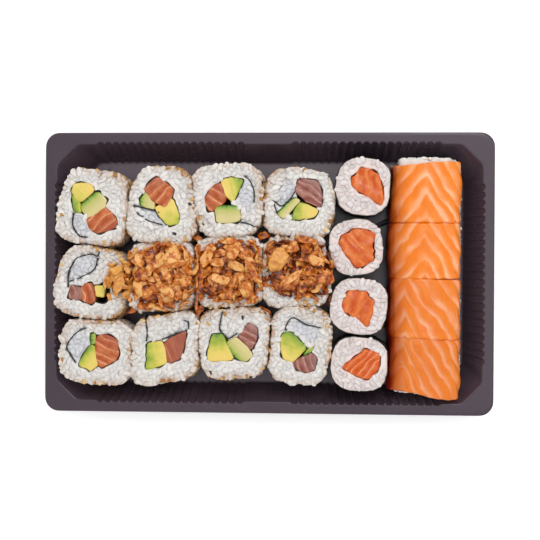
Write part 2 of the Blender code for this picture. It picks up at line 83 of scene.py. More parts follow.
# Each filling: what it is, the way its pattern runs in degrees, the shares of the pattern at its two ends,
# and its corners in mm from the middle of its roll
FILLINGS = {
    "uramaki_01": (
        ("avocado", 215, 0.0, 0.55, ((-9.5, 12.5), (-1.5, 12.5), (2, 9), (-6, 2), (-10.5, 7.5))),
        ("avocado", 200, 0.6, 1.0, ((-10.5, 7.0), (-6.0, 1.5), (-5.5, -3), (-9.5, -2.5))),
        ("cucumber", -50, 0.0, 1.0, ((-6, 1), (3, 8.5), (8, 4), (7.5, 0), (-1, -6), (-4.5, -2.5))),
        ("salmon", -65, 0.0, 1.0,
         ((-3, -6.5), (7.5, 0), (10.5, -2.5), (14, -8), (13, -11), (4, -14), (-0.5, -12))),
    ),
    "uramaki_02": (
        ("salmon", 120, 0.0, 1.0,
         ((-9, 7.5), (-8.5, 9), (-2, 14.5), (6.5, 7.5), (6, 4.5), (2, -2), (-4.5, 1.5))),
        ("cucumber", -10, 0.0, 1.0, ((-11.5, 1.5), (-8.5, 6.5), (-3.5, 1.5), (-4, -3), (-10.5, -1))),
        ("avocado", -60, 0.0, 0.8, ((-3.5, -2), (6, 3), (9.5, -5), (9, -11), (3, -11), (-2, -5))),
    ),
    "uramaki_03": (
        ("salmon", 50, 0.0, 1.0, ((-12.5, 0.5), (-8.5, 7), (-4, 9.5), (-1, 0), (-7, -4.5), (-10, -6))),
        ("avocado", 5, 0.0, 1.0, ((-4, 9.5), (-1, 12), (8, 11), (5.5, 5.5), (2.5, -1), (-1.5, 2.5))),
        ("cucumber", -90, 0.0, 1.0, ((-7, -4), (-3, -2.5), (5.5, -3), (6.5, -10.5), (2, -11.5), (-6, -12))),
    ),
    "uramaki_04": (
        ("tuna", 45, 0.0, 1.0, ((-0.5, 12), (10, 11), (12, 2), (11, -3), (3.5, 0.5), (-2.5, 5.5))),
        ("cucumber", -45, 0.0, 1.0, ((-11.5, -5.5), (-2.5, 2.5), (0.5, 0.5), (-4, -4), (-8, -9), (-11, -7))),
        ("avocado", 170, 0.0, 0.9, ((0.5, 0), (10, -4), (8, -8), (0, -9.5), (-4.5, -9), (-2.5, -4))),
    ),
    "uramaki_05": (
        ("tuna", 0, 0.0, 1.0, ((-11, -1.5), (-5.5, -2.5), (-5, -9.5), (-11.5, -8.5))),
        ("salmon", 0, 0.0, 1.0, ((-5, -1), (1.5, -0.5), (2.5, -10), (0, -11.5), (-5, -9.5))),
        ("avocado", 20, 0.1, 0.5, ((2, -1.5), (7.5, -2), (7, -7.5), (3, -7.5))),
        ("air", 0, 0.0, 0.0, ((7.5, 1), (10, 0), (10, -9), (6, -10.5), (2.5, -10))),
    ),
    "uramaki_09": (
        ("avocado", 135, 0.0, 0.9, ((-9.5, -6.5), (-2.5, 4.5), (1, 1.5), (1.5, -7), (-2.5, -10))),
        ("salmon", 50, 0.0, 1.0, ((1, 8.5), (5, 9.5), (12, 7), (12.5, -3), (3.5, -8), (1.5, -6.5), (0, 3))),
        ("cucumber", 0, 0.0, 0.3, ((-2.5, 4.5), (-2.5, 9.5), (0, 10), (0, 4.5))),
    ),
    "uramaki_10": (
        ("avocado", 180, 0.1, 0.9, ((-9.5, 3), (-1.5, 4), (1, -2), (1, -7.5), (-10.5, -11.5), (-9.5, -5))),
        ("salmon", 10, 0.85, 1.5, ((-1, 3.5), (11, 10), (11, 6), (8.5, -5), (1.5, -7.5))),
    ),
    "uramaki_11": (
        ("avocado", 90, 0.0, 1.0, ((-11.5, 4.5), (-6, 5), (-4, 0.5), (0.5, -8.5), (-12.5, -9.5), (-14, -7))),
        ("cucumber", 40, 0.0, 1.0, ((-4, 0.5), (1.5, 3.5), (10.5, -5.5), (6.5, -9.5), (0.5, -7.5))),
        ("tuna", 40, 0.0, 1.0, ((3.5, 5.5), (8, 11.5), (12.5, 8), (12, 2), (9.5, -3.5), (2, 3))),
    ),
    "uramaki_12": (
        ("avocado", 60, 0.1, 1.0,
         ((-11, 3), (-9, 7), (-4.5, 7), (3, -1), (-1, -5.5), (-4.5, -8.5), (-9.5, -6.5))),
        ("cucumber", 50, 0.0, 0.35, ((1.5, -4), (6, 0.5), (6.3, -1.5), (2, -5.5))),
        ("tuna", 0, 0.0, 1.0, ((-4.5, -8.5), (6, -3.5), (8, -6), (7.5, -12), (3, -14.5), (-2.5, -12))),
    ),
    "hosomaki_1": (
        ("bright_salmon", -10, 0.0, 1.0,
         ((-5.5, 4), (-0.5, 10), (8, 6.5), (10.5, -3), (10.5, -10.5), (6.5, -8), (0.5, -4), (-5.5, 0))),
    ),
    "hosomaki_2": (
        ("bright_salmon", 30, 0.0, 1.0,
         ((-7.5, 6), (0.5, 9.5), (10, 7.5), (8.5, 1.5), (9, -6.5), (5.5, -9), (0, -11), (-4.5, -4.5),
          (-8.5, 1.5))),
    ),
    "hosomaki_3": (
        ("bright_salmon", -30, 0.0, 1.0,
         ((-8.5, 1.5), (-5.5, 8), (4, 7.5), (8, 1.5), (7, -3.5), (5, -11), (-1.5, -5.5), (-7.5, -3))),
    ),
    "hosomaki_4": (
        ("lined_salmon", 125, 0.0, 0.7,
         ((-9.5, -1.5), (1, 5.5), (2.5, 8), (11, 5.5), (10, -3), (5, -8), (-3.5, -5))),
    ),
}

# Where a sheet of seaweed shows in the rice, where the rice has split, and the folds of rice inside the
# sheet, which lie lower, all in mm from the middle of the roll; folds and seams get painted bluish shade
SEAWEED_ENDS = {
    "uramaki_01": (((-9.5, -3), (-10, -9.5), (-6.5, -15), (-2, -16)),),
    "uramaki_02": (((-14.5, -1), (-8, -2.5), (-1, -4.5)), ((-13, -4.5), (-7.5, -8.5), (0.5, -11))),
    "uramaki_03": (((8.5, 13), (11.5, 10), (13.5, 4.5), (13.5, -1)), ((6.5, -11.5), (10, -12), (14.5, -14))),
    "uramaki_04": (((-2.5, 5.5), (-5, 1.5), (-9.5, -2), (-13.5, 0.5), (-12, -5.5)),),
    "uramaki_05": (((5, 17), (3.5, 14), (0, 15), (-7, 13), (-10, 9), (-12, 4.5), (-12, -2.5)),
                   ((3.8, 13), (2, 7), (-4.5, 3), (-11.5, 0.5))),
    "uramaki_09": (((-5.5, 13), (-10.5, 10), (-14.5, 5), (-15, 1.5), (-10.5, -5.5)),),
    "uramaki_10": (((-11, 18), (-9.5, 9), (-10, 4)),
                   ((-1.5, 5), (5.5, 8), (11.7, 9.8), (12.3, 14), (10, 15.3))),
    "uramaki_11": (((-6, 17), (-7.5, 8), (-5.5, 5), (-3, 2.5), (2, 5.5)),),
    "uramaki_12": (((-8, 8), (-7.6, 11), (-4.2, 14.7), (2.8, 11.3), (11, 9.4)),),
}
SPLITS = {
    "uramaki_01": (((5, 18), (3.5, 12.5)),),
    "uramaki_03": (((-16.5, -6.5), (-11, -11.5), (-6, -17.5)),),
    "uramaki_04": (((-7.5, 18), (-8, 11), (-10.9, 6), (-9.5, 0)),),
    "uramaki_09": (((-19, 5), (-15, 5)),),
    "uramaki_11": (((1, -19), (0.5, -15)),),
}
FOLDS = {
    "uramaki_01": ((-9.5, -4), (-6, -3.5), (-3, -7), (-1, -12.5), (-2.5, -15.5), (-6, -14.5), (-9.5, -9)),
    "uramaki_02": ((-12.5, -1.5), (-8, -2.5), (-1, -4.5), (1.5, -8.5), (0.5, -10.5), (-5.5, -9), (-11, -5)),
    "uramaki_03": ((5.5, 12), (10, 11), (13, 5), (13.3, -1), (11.5, -9), (7, -4), (4, 1), (6, 6)),
    "uramaki_04": ((-8, 13), (-3, 11), (-2.5, 5.5), (-5, 1.5), (-9.5, -2), (-13, 0), (-10, 6), (-8, 10)),
    "uramaki_05": ((-11.5, 1), (-11.5, 5), (-9.5, 9), (-6.5, 12.5), (0, 14.5), (3.5, 13), (2, 8), (-4.5, 3)),
    "uramaki_09": ((-10, -6), (-14.5, 1.5), (-14, 5), (-10, 9.5), (-5.5, 12), (-2.5, 5), (-6, -1)),
    "uramaki_10": ((-2, 4.5), (3, 7.5), (9, 14), (12, 14.5), (11.7, 10), (5, 5)),
    "uramaki_12": ((-7.2, 9), (-4.2, 14), (-1, 13.5), (3, 11), (11, 9), (9, 2), (5, 1), (-4, 7)),
}

# The directions in which sesame and its stains show on a roll's rim, in degrees from the right
SESAME = {
    "uramaki_01": (50, -45), "uramaki_02": (10, 70, -65), "uramaki_03": (-135, 20), "uramaki_04": (-50, 150),
    "uramaki_05": (65, -115, -60), "uramaki_06": (95, -80), "uramaki_07": (-90,), "uramaki_08": (-60, 120),
    "uramaki_09": (85, 5, -80), "uramaki_10": (115, -30, -75), "uramaki_11": (120, 45, -90),
    "uramaki_12": (178, -10, 60),
}

# Each salmon slice: where the marbling's tips lie across it and along it in mm, how steep the marbling runs
# beside the tips and further out, how far each end reaches past its roll, on the left and on the right, how
# far the rice stands out at the far end, and how much darker it is all over, more for the slices lower in the
# tray
SLICES = {
    "salmon_roll_1": (0.0, 59.0, 2.2, 1.2, (-3.2, -0.9), (0.3, 0.3), 1.0, 0.0),
    "salmon_roll_2": (-0.3, 26.0, 2.2, 1.25, (0.2, 0.2), (0.8, 0.4), -0.9, 0.02),
    "salmon_roll_3": (-11.0, -6.5, 1.8, 1.15, (0.5, -0.4), (0.8, 1.9), -0.9, 0.12),
    "salmon_roll_4": (-11.5, -30.5, 3.0, 1.5, (0.8, -1.2), (-2.4, 2.6), -0.9, 0.18),
}


# Settings


class SushiTraySettings(bpy.types.PropertyGroup):
    """Sizes and colour of the moulded tray."""

    sheet: bpy.props.FloatProperty(
        name="Sheet", description="Thickness of the plastic", default=0.8 * MM, unit="LENGTH")
    rim_width: bpy.props.FloatProperty(
        name="Rim width", description="From the outer edge to the ribs", default=6.3 * MM, unit="LENGTH")
    rim_corner: bpy.props.FloatProperty(
        name="Rim corner", description="Radius of the rim's corners", default=7.5 * MM, unit="LENGTH")
    lip_drop: bpy.props.FloatProperty(
        name="Lip", description="Height of the turned-down lip", default=2.4 * MM, unit="LENGTH")
    wall_slope: bpy.props.FloatProperty(
        name="Wall slope", description="How far a wall leans in", default=8.6 * MM, unit="LENGTH")
    corner_cut: bpy.props.FloatProperty(
        name="Corner cut", description="Leg of the cut corners", default=11 * MM, unit="LENGTH")
    flute_pitch: bpy.props.FloatProperty(
        name="Flute pitch", description="From one rib to the next", default=4.2 * MM, unit="LENGTH")
    flute_depth: bpy.props.FloatProperty(
        name="Flute depth", description="Depth of a groove at the rim", default=1.2 * MM, unit="LENGTH")
    long_side_flutes: bpy.props.IntProperty(
        name="Long side flutes", description="Grooves in each of its two groups", default=19)
    short_side_flutes: bpy.props.IntProperty(
        name="Short side flutes", description="Grooves on a short wall", default=23)
    panel_width: bpy.props.FloatProperty(
        name="Panel", description="Plain panel between two groups", default=25 * MM, unit="LENGTH")
    colour: bpy.props.StringProperty(
        name="Colour", description="Colour of the plastic as sRGB hex", default="#40343e")


class SushiRiceSettings(bpy.types.PropertyGroup):
    """Sizes and colours of the rice, the seaweed and the sesame."""

    grain_length: bpy.props.FloatProperty(
        name="Grain length", description="Length of a cooked grain", default=4.9 * MM, unit="LENGTH")
    grain_width: bpy.props.FloatProperty(
        name="Grain width", description="Width of a cooked grain", default=3.1 * MM, unit="LENGTH")
    grain_spacing: bpy.props.FloatProperty(
        name="Grain spacing", description="Least distance between grains", default=2.15 * MM, unit="LENGTH")
    grain_room: bpy.props.FloatProperty(
        name="Grain room", description="Depth that outer grains take up", default=0.35 * MM, unit="LENGTH")
    seaweed: bpy.props.FloatProperty(
        name="Seaweed", description="Thickness of a moist sheet", default=0.42 * MM, unit="LENGTH")
    seed_length: bpy.props.FloatProperty(
        name="Seed length", description="Length of a sesame seed", default=3.0 * MM, unit="LENGTH")
    colour: bpy.props.StringProperty(
        name="Rice colour", description="Colour of the rice as sRGB hex", default="#e4ded8")


class SushiSalmonSettings(bpy.types.PropertyGroup):
    """Sizes and colours of the salmon slices."""

    thickness: bpy.props.FloatProperty(
        name="Slice", description="Thickness of a slice", default=3.6 * MM, unit="LENGTH")
    marbling: bpy.props.FloatProperty(
        name="Marbling", description="From one line of fat to the next", default=10.7 * MM, unit="LENGTH")
    deep: bpy.props.StringProperty(
        name="Deep flesh", description="Colour of the deepest flesh as sRGB hex", default="#ea6e00")
    flesh: bpy.props.StringProperty(
        name="Flesh", description="Colour of the flesh as sRGB hex", default="#f58a1a")
    streak: bpy.props.StringProperty(
        name="Streaks", description="Colour of the fine streaks as sRGB hex", default="#f6963e")
    fat: bpy.props.StringProperty(
        name="Fat", description="Colour of the fat lines as sRGB hex", default="#fdbb90")
    # Painted shade: this deep red darkens the slice's left side, where it drops into the gap between rolls
    flank_shade: bpy.props.StringProperty(
        name="Flank", description="Colour of the deep red flesh on the side as sRGB hex", default="#8a1903")


class SushiOnionSettings(bpy.types.PropertyGroup):
    """Sizes and colours of the fried onion."""

    flake_length: bpy.props.FloatProperty(
        name="Flake length", description="Length of a large flake", default=10.0 * MM, unit="LENGTH")
    flake_width: bpy.props.FloatProperty(
        name="Flake width", description="Width of a large flake", default=6.0 * MM, unit="LENGTH")
    spacing: bpy.props.FloatProperty(
        name="Flake spacing", description="Least distance between flakes", default=3.3 * MM, unit="LENGTH")
    light: bpy.props.StringProperty(
        name="Light", description="Colour of a pale flake as sRGB hex", default="#ebaf66")
    amber: bpy.props.StringProperty(
        name="Amber", description="Colour of most flakes as sRGB hex", default="#be6112")
    dark: bpy.props.StringProperty(
        name="Dark", description="Colour of a dark flake as sRGB hex", default="#5a2205")
    golden: bpy.props.StringProperty(
        name="Golden", description="Colour of a soft flake as sRGB hex", default="#d88a24")


class SushiStageSettings(bpy.types.PropertyGroup):
    """Camera, light and floor."""

    camera_place: bpy.props.FloatVectorProperty(
        name="Camera", description="Where the camera stands", default=(0.03417, 0.00649, 0.620),
        subtype="TRANSLATION", unit="LENGTH")
    camera_turn: bpy.props.FloatVectorProperty(
        name="Camera turn", description="The camera's rotation",
        default=(math.radians(-0.444), math.radians(3.13), math.radians(0.288)), subtype="EULER")
    lens: bpy.props.FloatProperty(
        name="Lens", description="Focal length on a 36 mm sensor", default=75.15)
    softbox_power: bpy.props.FloatProperty(
        name="Softbox", description="Power of the light overhead", default=4.9, unit="POWER")
    key_power: bpy.props.FloatProperty(
        name="Small softbox", description="Power of the light that makes glints", default=2.7, unit="POWER")
    sky: bpy.props.FloatProperty(
        name="Sky", description="Strength of the light from all round", default=0.82)


# Small tools


def linear(hex_colour):
    """A colour written as sRGB hex, as the linear RGBA that a socket takes."""
    channels = [int(hex_colour[i:i + 2], 16) / 255 for i in (1, 3, 5)]
    return (*(c / 12.92 if c <= 0.04045 else ((c + 0.055) / 1.055) ** 2.4 for c in channels), 1.0)


def connect(tree, socket, value):
    """Gives a socket a value, a colour written as hex, or a link from a socket or a node's first output."""
    if isinstance(value, bpy.types.Node):
        value = next(output for output in value.outputs if output.enabled)
    if isinstance(value, bpy.types.NodeSocket):
        tree.links.new(value, socket)
    elif isinstance(value, str) and value.startswith("#"):
        socket.default_value = linear(value)
    else:
        socket.default_value = value


def add_node(tree, kind, inputs=None, stops=None, **settings):
    """A new node with its settings, its ramp's stops, and something to connect to each named input."""
    node = tree.nodes.new(kind)
    for name, value in settings.items():
        setattr(node, name, value)
    for name, value in (inputs or {}).items():
        connect(tree, node.inputs[name], value)
    if stops:
        ramp = node.color_ramp.elements
        while len(ramp) < len(stops):
            ramp.new(0.5)
        for element, (position, colour) in zip(ramp, stops):
            element.position = position
            element.color = linear(colour)
    return node


def ring_faces(count, rings, closed=False):
    """Quads between rings of count points each. A closed stack joins its last ring to its first."""
    faces = []
    for level in range(rings if closed else rings - 1):
        low, high = level * count, (level + 1) % rings * count
        for i in range(count):
            j = (i + 1) % count
            faces.append((low + i, low + j, high + j, high + i))
    return faces


def capped_faces(count, rings):
    """The same stack, closed by a first and a last point that come after the rings."""
    faces = ring_faces(count, rings)
    first, last, top = count * rings, count * rings + 1, count * (rings - 1)
    for i in range(count):
        j = (i + 1) % count
        faces.append((j, i, first))
        faces.append((top + i, top + j, last))
    return faces


def add_object(name, data):
    """A new object in the scene."""
    item = bpy.data.objects.new(name, data)
    bpy.context.scene.collection.objects.link(item)
    return item


def add_piece(name, points, faces, material, attributes=None):
    """A smooth closed mesh whose place is in its points, with a float attribute for each named list."""
    mesh = bpy.data.meshes.new(name)
    mesh.from_pydata([tuple(point) for point in points], [], faces)
    for key, values in (attributes or {}).items():
        mesh.attributes.new(key, "FLOAT", "POINT").data.foreach_set("value", values)
    shape = bmesh.new()
    shape.from_mesh(mesh)
    bmesh.ops.recalc_face_normals(shape, faces=shape.faces)
    shape.to_mesh(mesh)
    shape.free()
    mesh.shade_smooth()
    if material:
        mesh.materials.append(material)
    return add_object(name, mesh)


def hand_over(piece, slot, *nodes):
    """Lets a finished piece ride on the body in place of its solids. The slot is not used."""
    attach(piece, BODY)
    if nodes:
        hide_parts(*nodes)


def smooth_outline(corners, cut=0.14, rounds=3):
    """A closed outline with its corners cut off again and again, which rounds them."""
    points = [Vector(corner) for corner in corners]
    for _ in range(rounds):
        trimmed = []
        for i, point in enumerate(points):
            after = points[(i + 1) % len(points)]
            trimmed += [point.lerp(after, cut), point.lerp(after, 1 - cut)]
        points = trimmed
    return points


def cut_outline(corners, grow=0.4 * MM, step=0.6 * MM, ragged=0.35 * MM):
    """The outline of a cut piece, with points a step apart, grown a little and slightly uneven."""
    corners = smooth_outline(corners)
    middle = average(corners)
    points = []
    for i, point in enumerate(corners):
        before = corners[i - 1]
        count = max(1, round((point - before).length / step))
        points += [before.lerp(point, k / count) for k in range(count)]
    grown = []
    for point in points:
        arm = point - middle
        uneven = bumps(point.to_3d(), ragged, 2.2 * MM)
        grown.append(point + arm.normalized() * (grow + uneven))
    return grown


def inside_depth(point, outline):
    """How far inside a closed outline a point lies, or 0 outside it."""
    inside, nearest = False, math.inf
    for i, end in enumerate(outline):
        start = outline[i - 1]
        if (start.y > point.y) != (end.y > point.y):
            crossing = start.x + (point.y - start.y) / (end.y - start.y) * (end.x - start.x)
            inside ^= point.x < crossing
        run = end - start
        share = max(0.0, min(1.0, (point - start).dot(run) / run.length_squared))
        nearest = min(nearest, (start + run * share - point).length)
    return nearest if inside else 0.0


def smooth_step(value):
    value = max(0.0, min(1.0, value))
    return value * value * (3 - 2 * value)


def smooth_path(corners, step=0.4 * MM):
    """Points about a step apart on a smooth open curve through these corners."""
    ends = [corners[0] * 2 - corners[1], *corners, corners[-1] * 2 - corners[-2]]
    points = []
    for a, b, c, d in zip(ends, ends[1:], ends[2:], ends[3:]):
        count = max(2, round((c - b).length / step))
        for i in range(count):
            t = i / count
            points.append(0.5 * (2 * b + (c - a) * t + (2 * a - 5 * b + 4 * c - d) * t**2
                                 + (3 * b - a - 3 * c + d) * t**3))
    return [*points, corners[-1]]


def path_distance(point, path):
    """How far a point in the plane lies from a path."""
    return min((point - corner).length for corner in path)


def bumps(place, size, spacing):
    """Smooth relief between minus and plus size, with its bumps about this far apart."""
    return size * noise.noise(place / spacing)


def average(points):
    return sum(points, Vector((0,) * len(points[0]))) / len(points)


class Surface:
    """The surface of a solid, measured by rays from inside it."""

    def __init__(self, node):
        mesh = bmesh.new()
        mesh.from_mesh(frame["nodes"][node].data)
        self.tree = BVHTree.FromBMesh(mesh)
        mesh.free()
        self.low, self.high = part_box(node)
        self.middle = (self.low + self.high) / 2

    def reach(self, origin, direction):
        hit = self.tree.ray_cast(origin, direction)[0]
        if hit is None:
            raise ValueError("a ray left its solid without meeting it")
        return (hit - origin).length


# Geometry Nodes


def start_tree(name, result, inputs):
    """A new Geometry Nodes tree with a geometry output, and the sockets of its named inputs."""
    tree = bpy.data.node_groups.new(name, "GeometryNodeTree")
    tree.is_modifier = True
    for key, kind, default in inputs:
        socket = tree.interface.new_socket(key, in_out="INPUT", socket_type="NodeSocket" + kind)
        if default is not None:
            socket.default_value = default
    tree.interface.new_socket(result, in_out="OUTPUT", socket_type="NodeSocketGeometry")
    return tree, add_node(tree, "NodeGroupInput").outputs


def finish_tree(tree, geometry, material):
    """Makes the geometry real, gives it its material and hands it to the tree's output."""
    real = add_node(tree, "GeometryNodeRealizeInstances", {"Geometry": geometry})
    shown = add_node(tree, "GeometryNodeSetMaterial", {"Geometry": real, "Material": material})
    add_node(tree, "NodeGroupOutput", {0: shown})
    return tree


def scatter_tree():
    """Pieces half sunk all over a surface, as real mesh: rice grains, sesame seeds or onion flakes."""
    tree, given = start_tree("Scatter over a surface", "Pieces", (
        ("Surface", "Geometry", None),
        ("Keep Surface", "Bool", True),
        ("Shapes", "Collection", None),
        ("Shape Count", "Int", 3),
        ("Where", "String", "grains"),
        ("Spacing", "Float", 2.3 * MM),
        ("Density", "Float", 200000.0),
        ("Lift", "Float", -0.3 * MM),
        ("Lift On Cut", "Float", -0.5 * MM),
        ("Flatness On Cut", "Float", 0.6),
        ("Tilt", "Float", 0.3),
        ("Smallest", "Float", 0.85),
        ("Largest", "Float", 1.1),
        ("Least Tone", "Float", 0.0),
        ("Most Tone", "Float", 1.0),
        ("Seed", "Int", 0),
        ("Material", "Material", None),
    ))
    where = add_node(tree, "GeometryNodeInputNamedAttribute", {"Name": given["Where"]})
    points = add_node(tree, "GeometryNodeDistributePointsOnFaces", {
        "Mesh": given["Surface"], "Distance Min": given["Spacing"], "Density Max": given["Density"],
        "Density Factor": where, "Seed": given["Seed"],
    }, distribute_method="POISSON")
    cut = add_node(tree, "GeometryNodeInputNamedAttribute", {"Name": "cut"})
    least_tilt = add_node(tree, "ShaderNodeMath", {0: given["Tilt"], 1: -1.0}, operation="MULTIPLY")
    least_turn = add_node(tree, "ShaderNodeCombineXYZ", {"X": least_tilt, "Y": least_tilt})
    most_turn = add_node(tree, "ShaderNodeCombineXYZ",
                         {"X": given["Tilt"], "Y": given["Tilt"], "Z": math.tau})
    last = add_node(tree, "ShaderNodeMath", {0: given["Shape Count"], 1: 1.0}, operation="SUBTRACT")
    turn, size, pick, chance = (
        add_node(tree, "FunctionNodeRandomValue", {**ends, "Seed": given["Seed"]}, data_type=kind)
        for kind, ends in (
            ("FLOAT_VECTOR", {0: least_turn, 1: most_turn}),
            ("FLOAT", {2: given["Smallest"], 3: given["Largest"]}),
            ("INT", {4: 0, 5: last}),
            ("FLOAT", {2: given["Least Tone"], 3: given["Most Tone"]}),
        )
    )
    turned = add_node(tree, "FunctionNodeEulerToRotation", {0: turn})
    rotation = add_node(tree, "FunctionNodeRotateRotation", {
        0: points.outputs["Rotation"], 1: turned,
    }, rotation_space="LOCAL")
    less = add_node(tree, "ShaderNodeMath", {0: given["Flatness On Cut"], 1: 1.0}, operation="SUBTRACT")
    flat = add_node(tree, "ShaderNodeMath", {0: cut, 1: less, 2: 1.0}, operation="MULTIPLY_ADD")
    height = add_node(tree, "ShaderNodeMath", {0: size, 1: flat}, operation="MULTIPLY")
    scale = add_node(tree, "ShaderNodeCombineXYZ", {"X": size, "Y": size, "Z": height})
    shapes = add_node(tree, "GeometryNodeCollectionInfo", {
        "Collection": given["Shapes"], "Separate Children": True, "Reset Children": True,
    })
    laid = add_node(tree, "GeometryNodeInstanceOnPoints", {
        "Points": points, "Instance": shapes, "Pick Instance": True,
        "Instance Index": pick, "Rotation": rotation, "Scale": scale,
    })
    lift = add_node(tree, "ShaderNodeMix", {0: cut, 2: given["Lift"], 3: given["Lift On Cut"]})
    offset = add_node(tree, "ShaderNodeCombineXYZ", {"Z": lift})
    sunk = add_node(tree, "GeometryNodeTranslateInstances", {
        "Instances": laid, "Translation": offset, "Local Space": True,
    })
    toned = add_node(tree, "GeometryNodeStoreNamedAttribute", {
        "Geometry": sunk, "Name": "tone", "Value": chance,
    }, domain="INSTANCE")
    kept = add_node(tree, "GeometryNodeSwitch", {
        "Switch": given["Keep Surface"], "True": given["Surface"],
    }, input_type="GEOMETRY")
    joined = add_node(tree, "GeometryNodeJoinGeometry", {"Geometry": toned})
    connect(tree, joined.inputs[0], kept)
    return finish_tree(tree, joined, given["Material"])


def flute_tree():
    """Presses a row of grooves into a plain wall that knows its pitch count and which way is outward."""
    tree, given = start_tree("Press flutes into a wall", "Fluted", (
        ("Wall", "Geometry", None),
        ("Depth", "Float", 1.2 * MM),
        ("Shoulder", "Float", 0.31),
        ("Material", "Material", None),
    ))
    count = add_node(tree, "GeometryNodeInputNamedAttribute", {"Name": "flute"})
    share = add_node(tree, "GeometryNodeInputNamedAttribute", {"Name": "flute_share"})
    outward = add_node(tree, "GeometryNodeInputNamedAttribute", {"Name": "outward"}, data_type="FLOAT_VECTOR")
    wave = add_node(tree, "ShaderNodeMath", {0: count, 1: 0.5}, operation="PINGPONG")
    groove = add_node(tree, "ShaderNodeMapRange", {
        "Value": wave, "From Max": given["Shoulder"],
    }, interpolation_type="SMOOTHSTEP")
    deep = add_node(tree, "ShaderNodeMath", {0: groove, 1: share}, operation="MULTIPLY")
    reach = add_node(tree, "ShaderNodeMath", {0: deep, 1: given["Depth"]}, operation="MULTIPLY")
    offset = add_node(tree, "ShaderNodeVectorMath", {0: outward, "Scale": reach}, operation="SCALE")
    moved = add_node(tree, "GeometryNodeSetPosition", {"Geometry": given["Wall"], "Offset": offset})
    return finish_tree(tree, moved, given["Material"])


def through_tree(piece, tree, name, values):
    """The piece's mesh after a Geometry Nodes tree, as a new plain mesh. The modifier doesn't stay."""
    modifier = piece.modifiers.new("nodes", "NODES")
    modifier.node_group = tree
    sockets = {item.name: item.identifier for item in tree.interface.items_tree if item.in_out == "INPUT"}
    for key, value in values.items():
        modifier[sockets[key]] = value
    graph = bpy.context.evaluated_depsgraph_get()
    evaluated = piece.evaluated_get(graph)
    mesh = bpy.data.meshes.new_from_object(evaluated, preserve_all_data_layers=True, depsgraph=graph)
    piece.modifiers.remove(modifier)
    mesh.name = name
    mesh.shade_smooth()
    return mesh


def shape_collection(name, shapes):
    """A collection, outside the scene, of the shapes that a scatter picks from."""
    collection = bpy.data.collections.new(name)
    for shape in shapes:
        bpy.context.scene.collection.objects.unlink(shape)
        collection.objects.link(shape)
    return collection


def remove_collection(collection):
    for shape in list(collection.objects):
        bpy.data.objects.remove(shape)
    bpy.data.collections.remove(collection)


# Materials


def start_material(name):
    material = bpy.data.materials.new(name)
    material.use_nodes = True
    return material, material.node_tree


def finish(material, colour, roughness, relief=None, flesh=None, ior=1.5, glow=0.0):
    """Gives a surface its colour and gloss, and returns it.

    Relief is a pattern, its strength and its depth in mm. Flesh is how much light enters, how far each colour
    spreads, and the depth in mm."""
    tree = material.node_tree
    values = {"Base Color": colour, "Roughness": roughness, "IOR": ior, "Emission Strength": glow}
    if relief:
        height, strength, depth = relief
        values["Normal"] = add_node(tree, "ShaderNodeBump", {
            "Height": height, "Strength": strength, "Distance": depth * MM})
    if flesh:
        weight, radius, depth = flesh
        values |= {"Subsurface Weight": weight, "Subsurface Radius": radius, "Subsurface Scale": depth * MM}
    for name, value in values.items():
        connect(tree, tree.nodes["Principled BSDF"].inputs[name], value)
    return material


def black_plastic(settings):
    """Polystyrene sheet, thermoformed: near black, satin, uneven where drawn, and painted lighter on the
    floor to stand in for the sheen it reflects.
    """
    material, tree = start_material("thermoformed black polystyrene")
    place = add_node(tree, "ShaderNodeTexCoord").outputs["Object"]
    drawn = add_node(tree, "ShaderNodeTexNoise", {"Vector": place, "Scale": 1 / (14 * MM), "Detail": 3.0})
    grit = add_node(tree, "ShaderNodeTexNoise", {"Vector": place, "Scale": 1 / (0.5 * MM), "Detail": 1.0})
    gloss = add_node(tree, "ShaderNodeMapRange", {
        "Value": drawn, "From Min": 0.3, "From Max": 0.7, "To Min": 0.19, "To Max": 0.3,
    })
    colour = add_node(tree, "ShaderNodeMix", {0: drawn, 6: settings.colour, 7: "#483b45"}, data_type="RGBA")
    # Painted reflection: on the floor, below 2 mm, the plastic is mixed towards a lighter grey that stands in
    # for the light the floor reflects
    height = add_node(tree, "ShaderNodeSeparateXYZ", {0: place}).outputs["Z"]
    painted_floor_sheen = add_node(tree, "ShaderNodeMapRange", {
        "Value": height, "From Min": 0.9 * MM, "From Max": 2.0 * MM, "To Min": 1.0, "To Max": 0.0,
    })
    tint = add_node(tree, "ShaderNodeMix", {0: painted_floor_sheen, 6: colour, 7: "#665b64"}, data_type="RGBA")
    return finish(material, tint, gloss, (grit, 0.08, 0.1), ior=1.42)


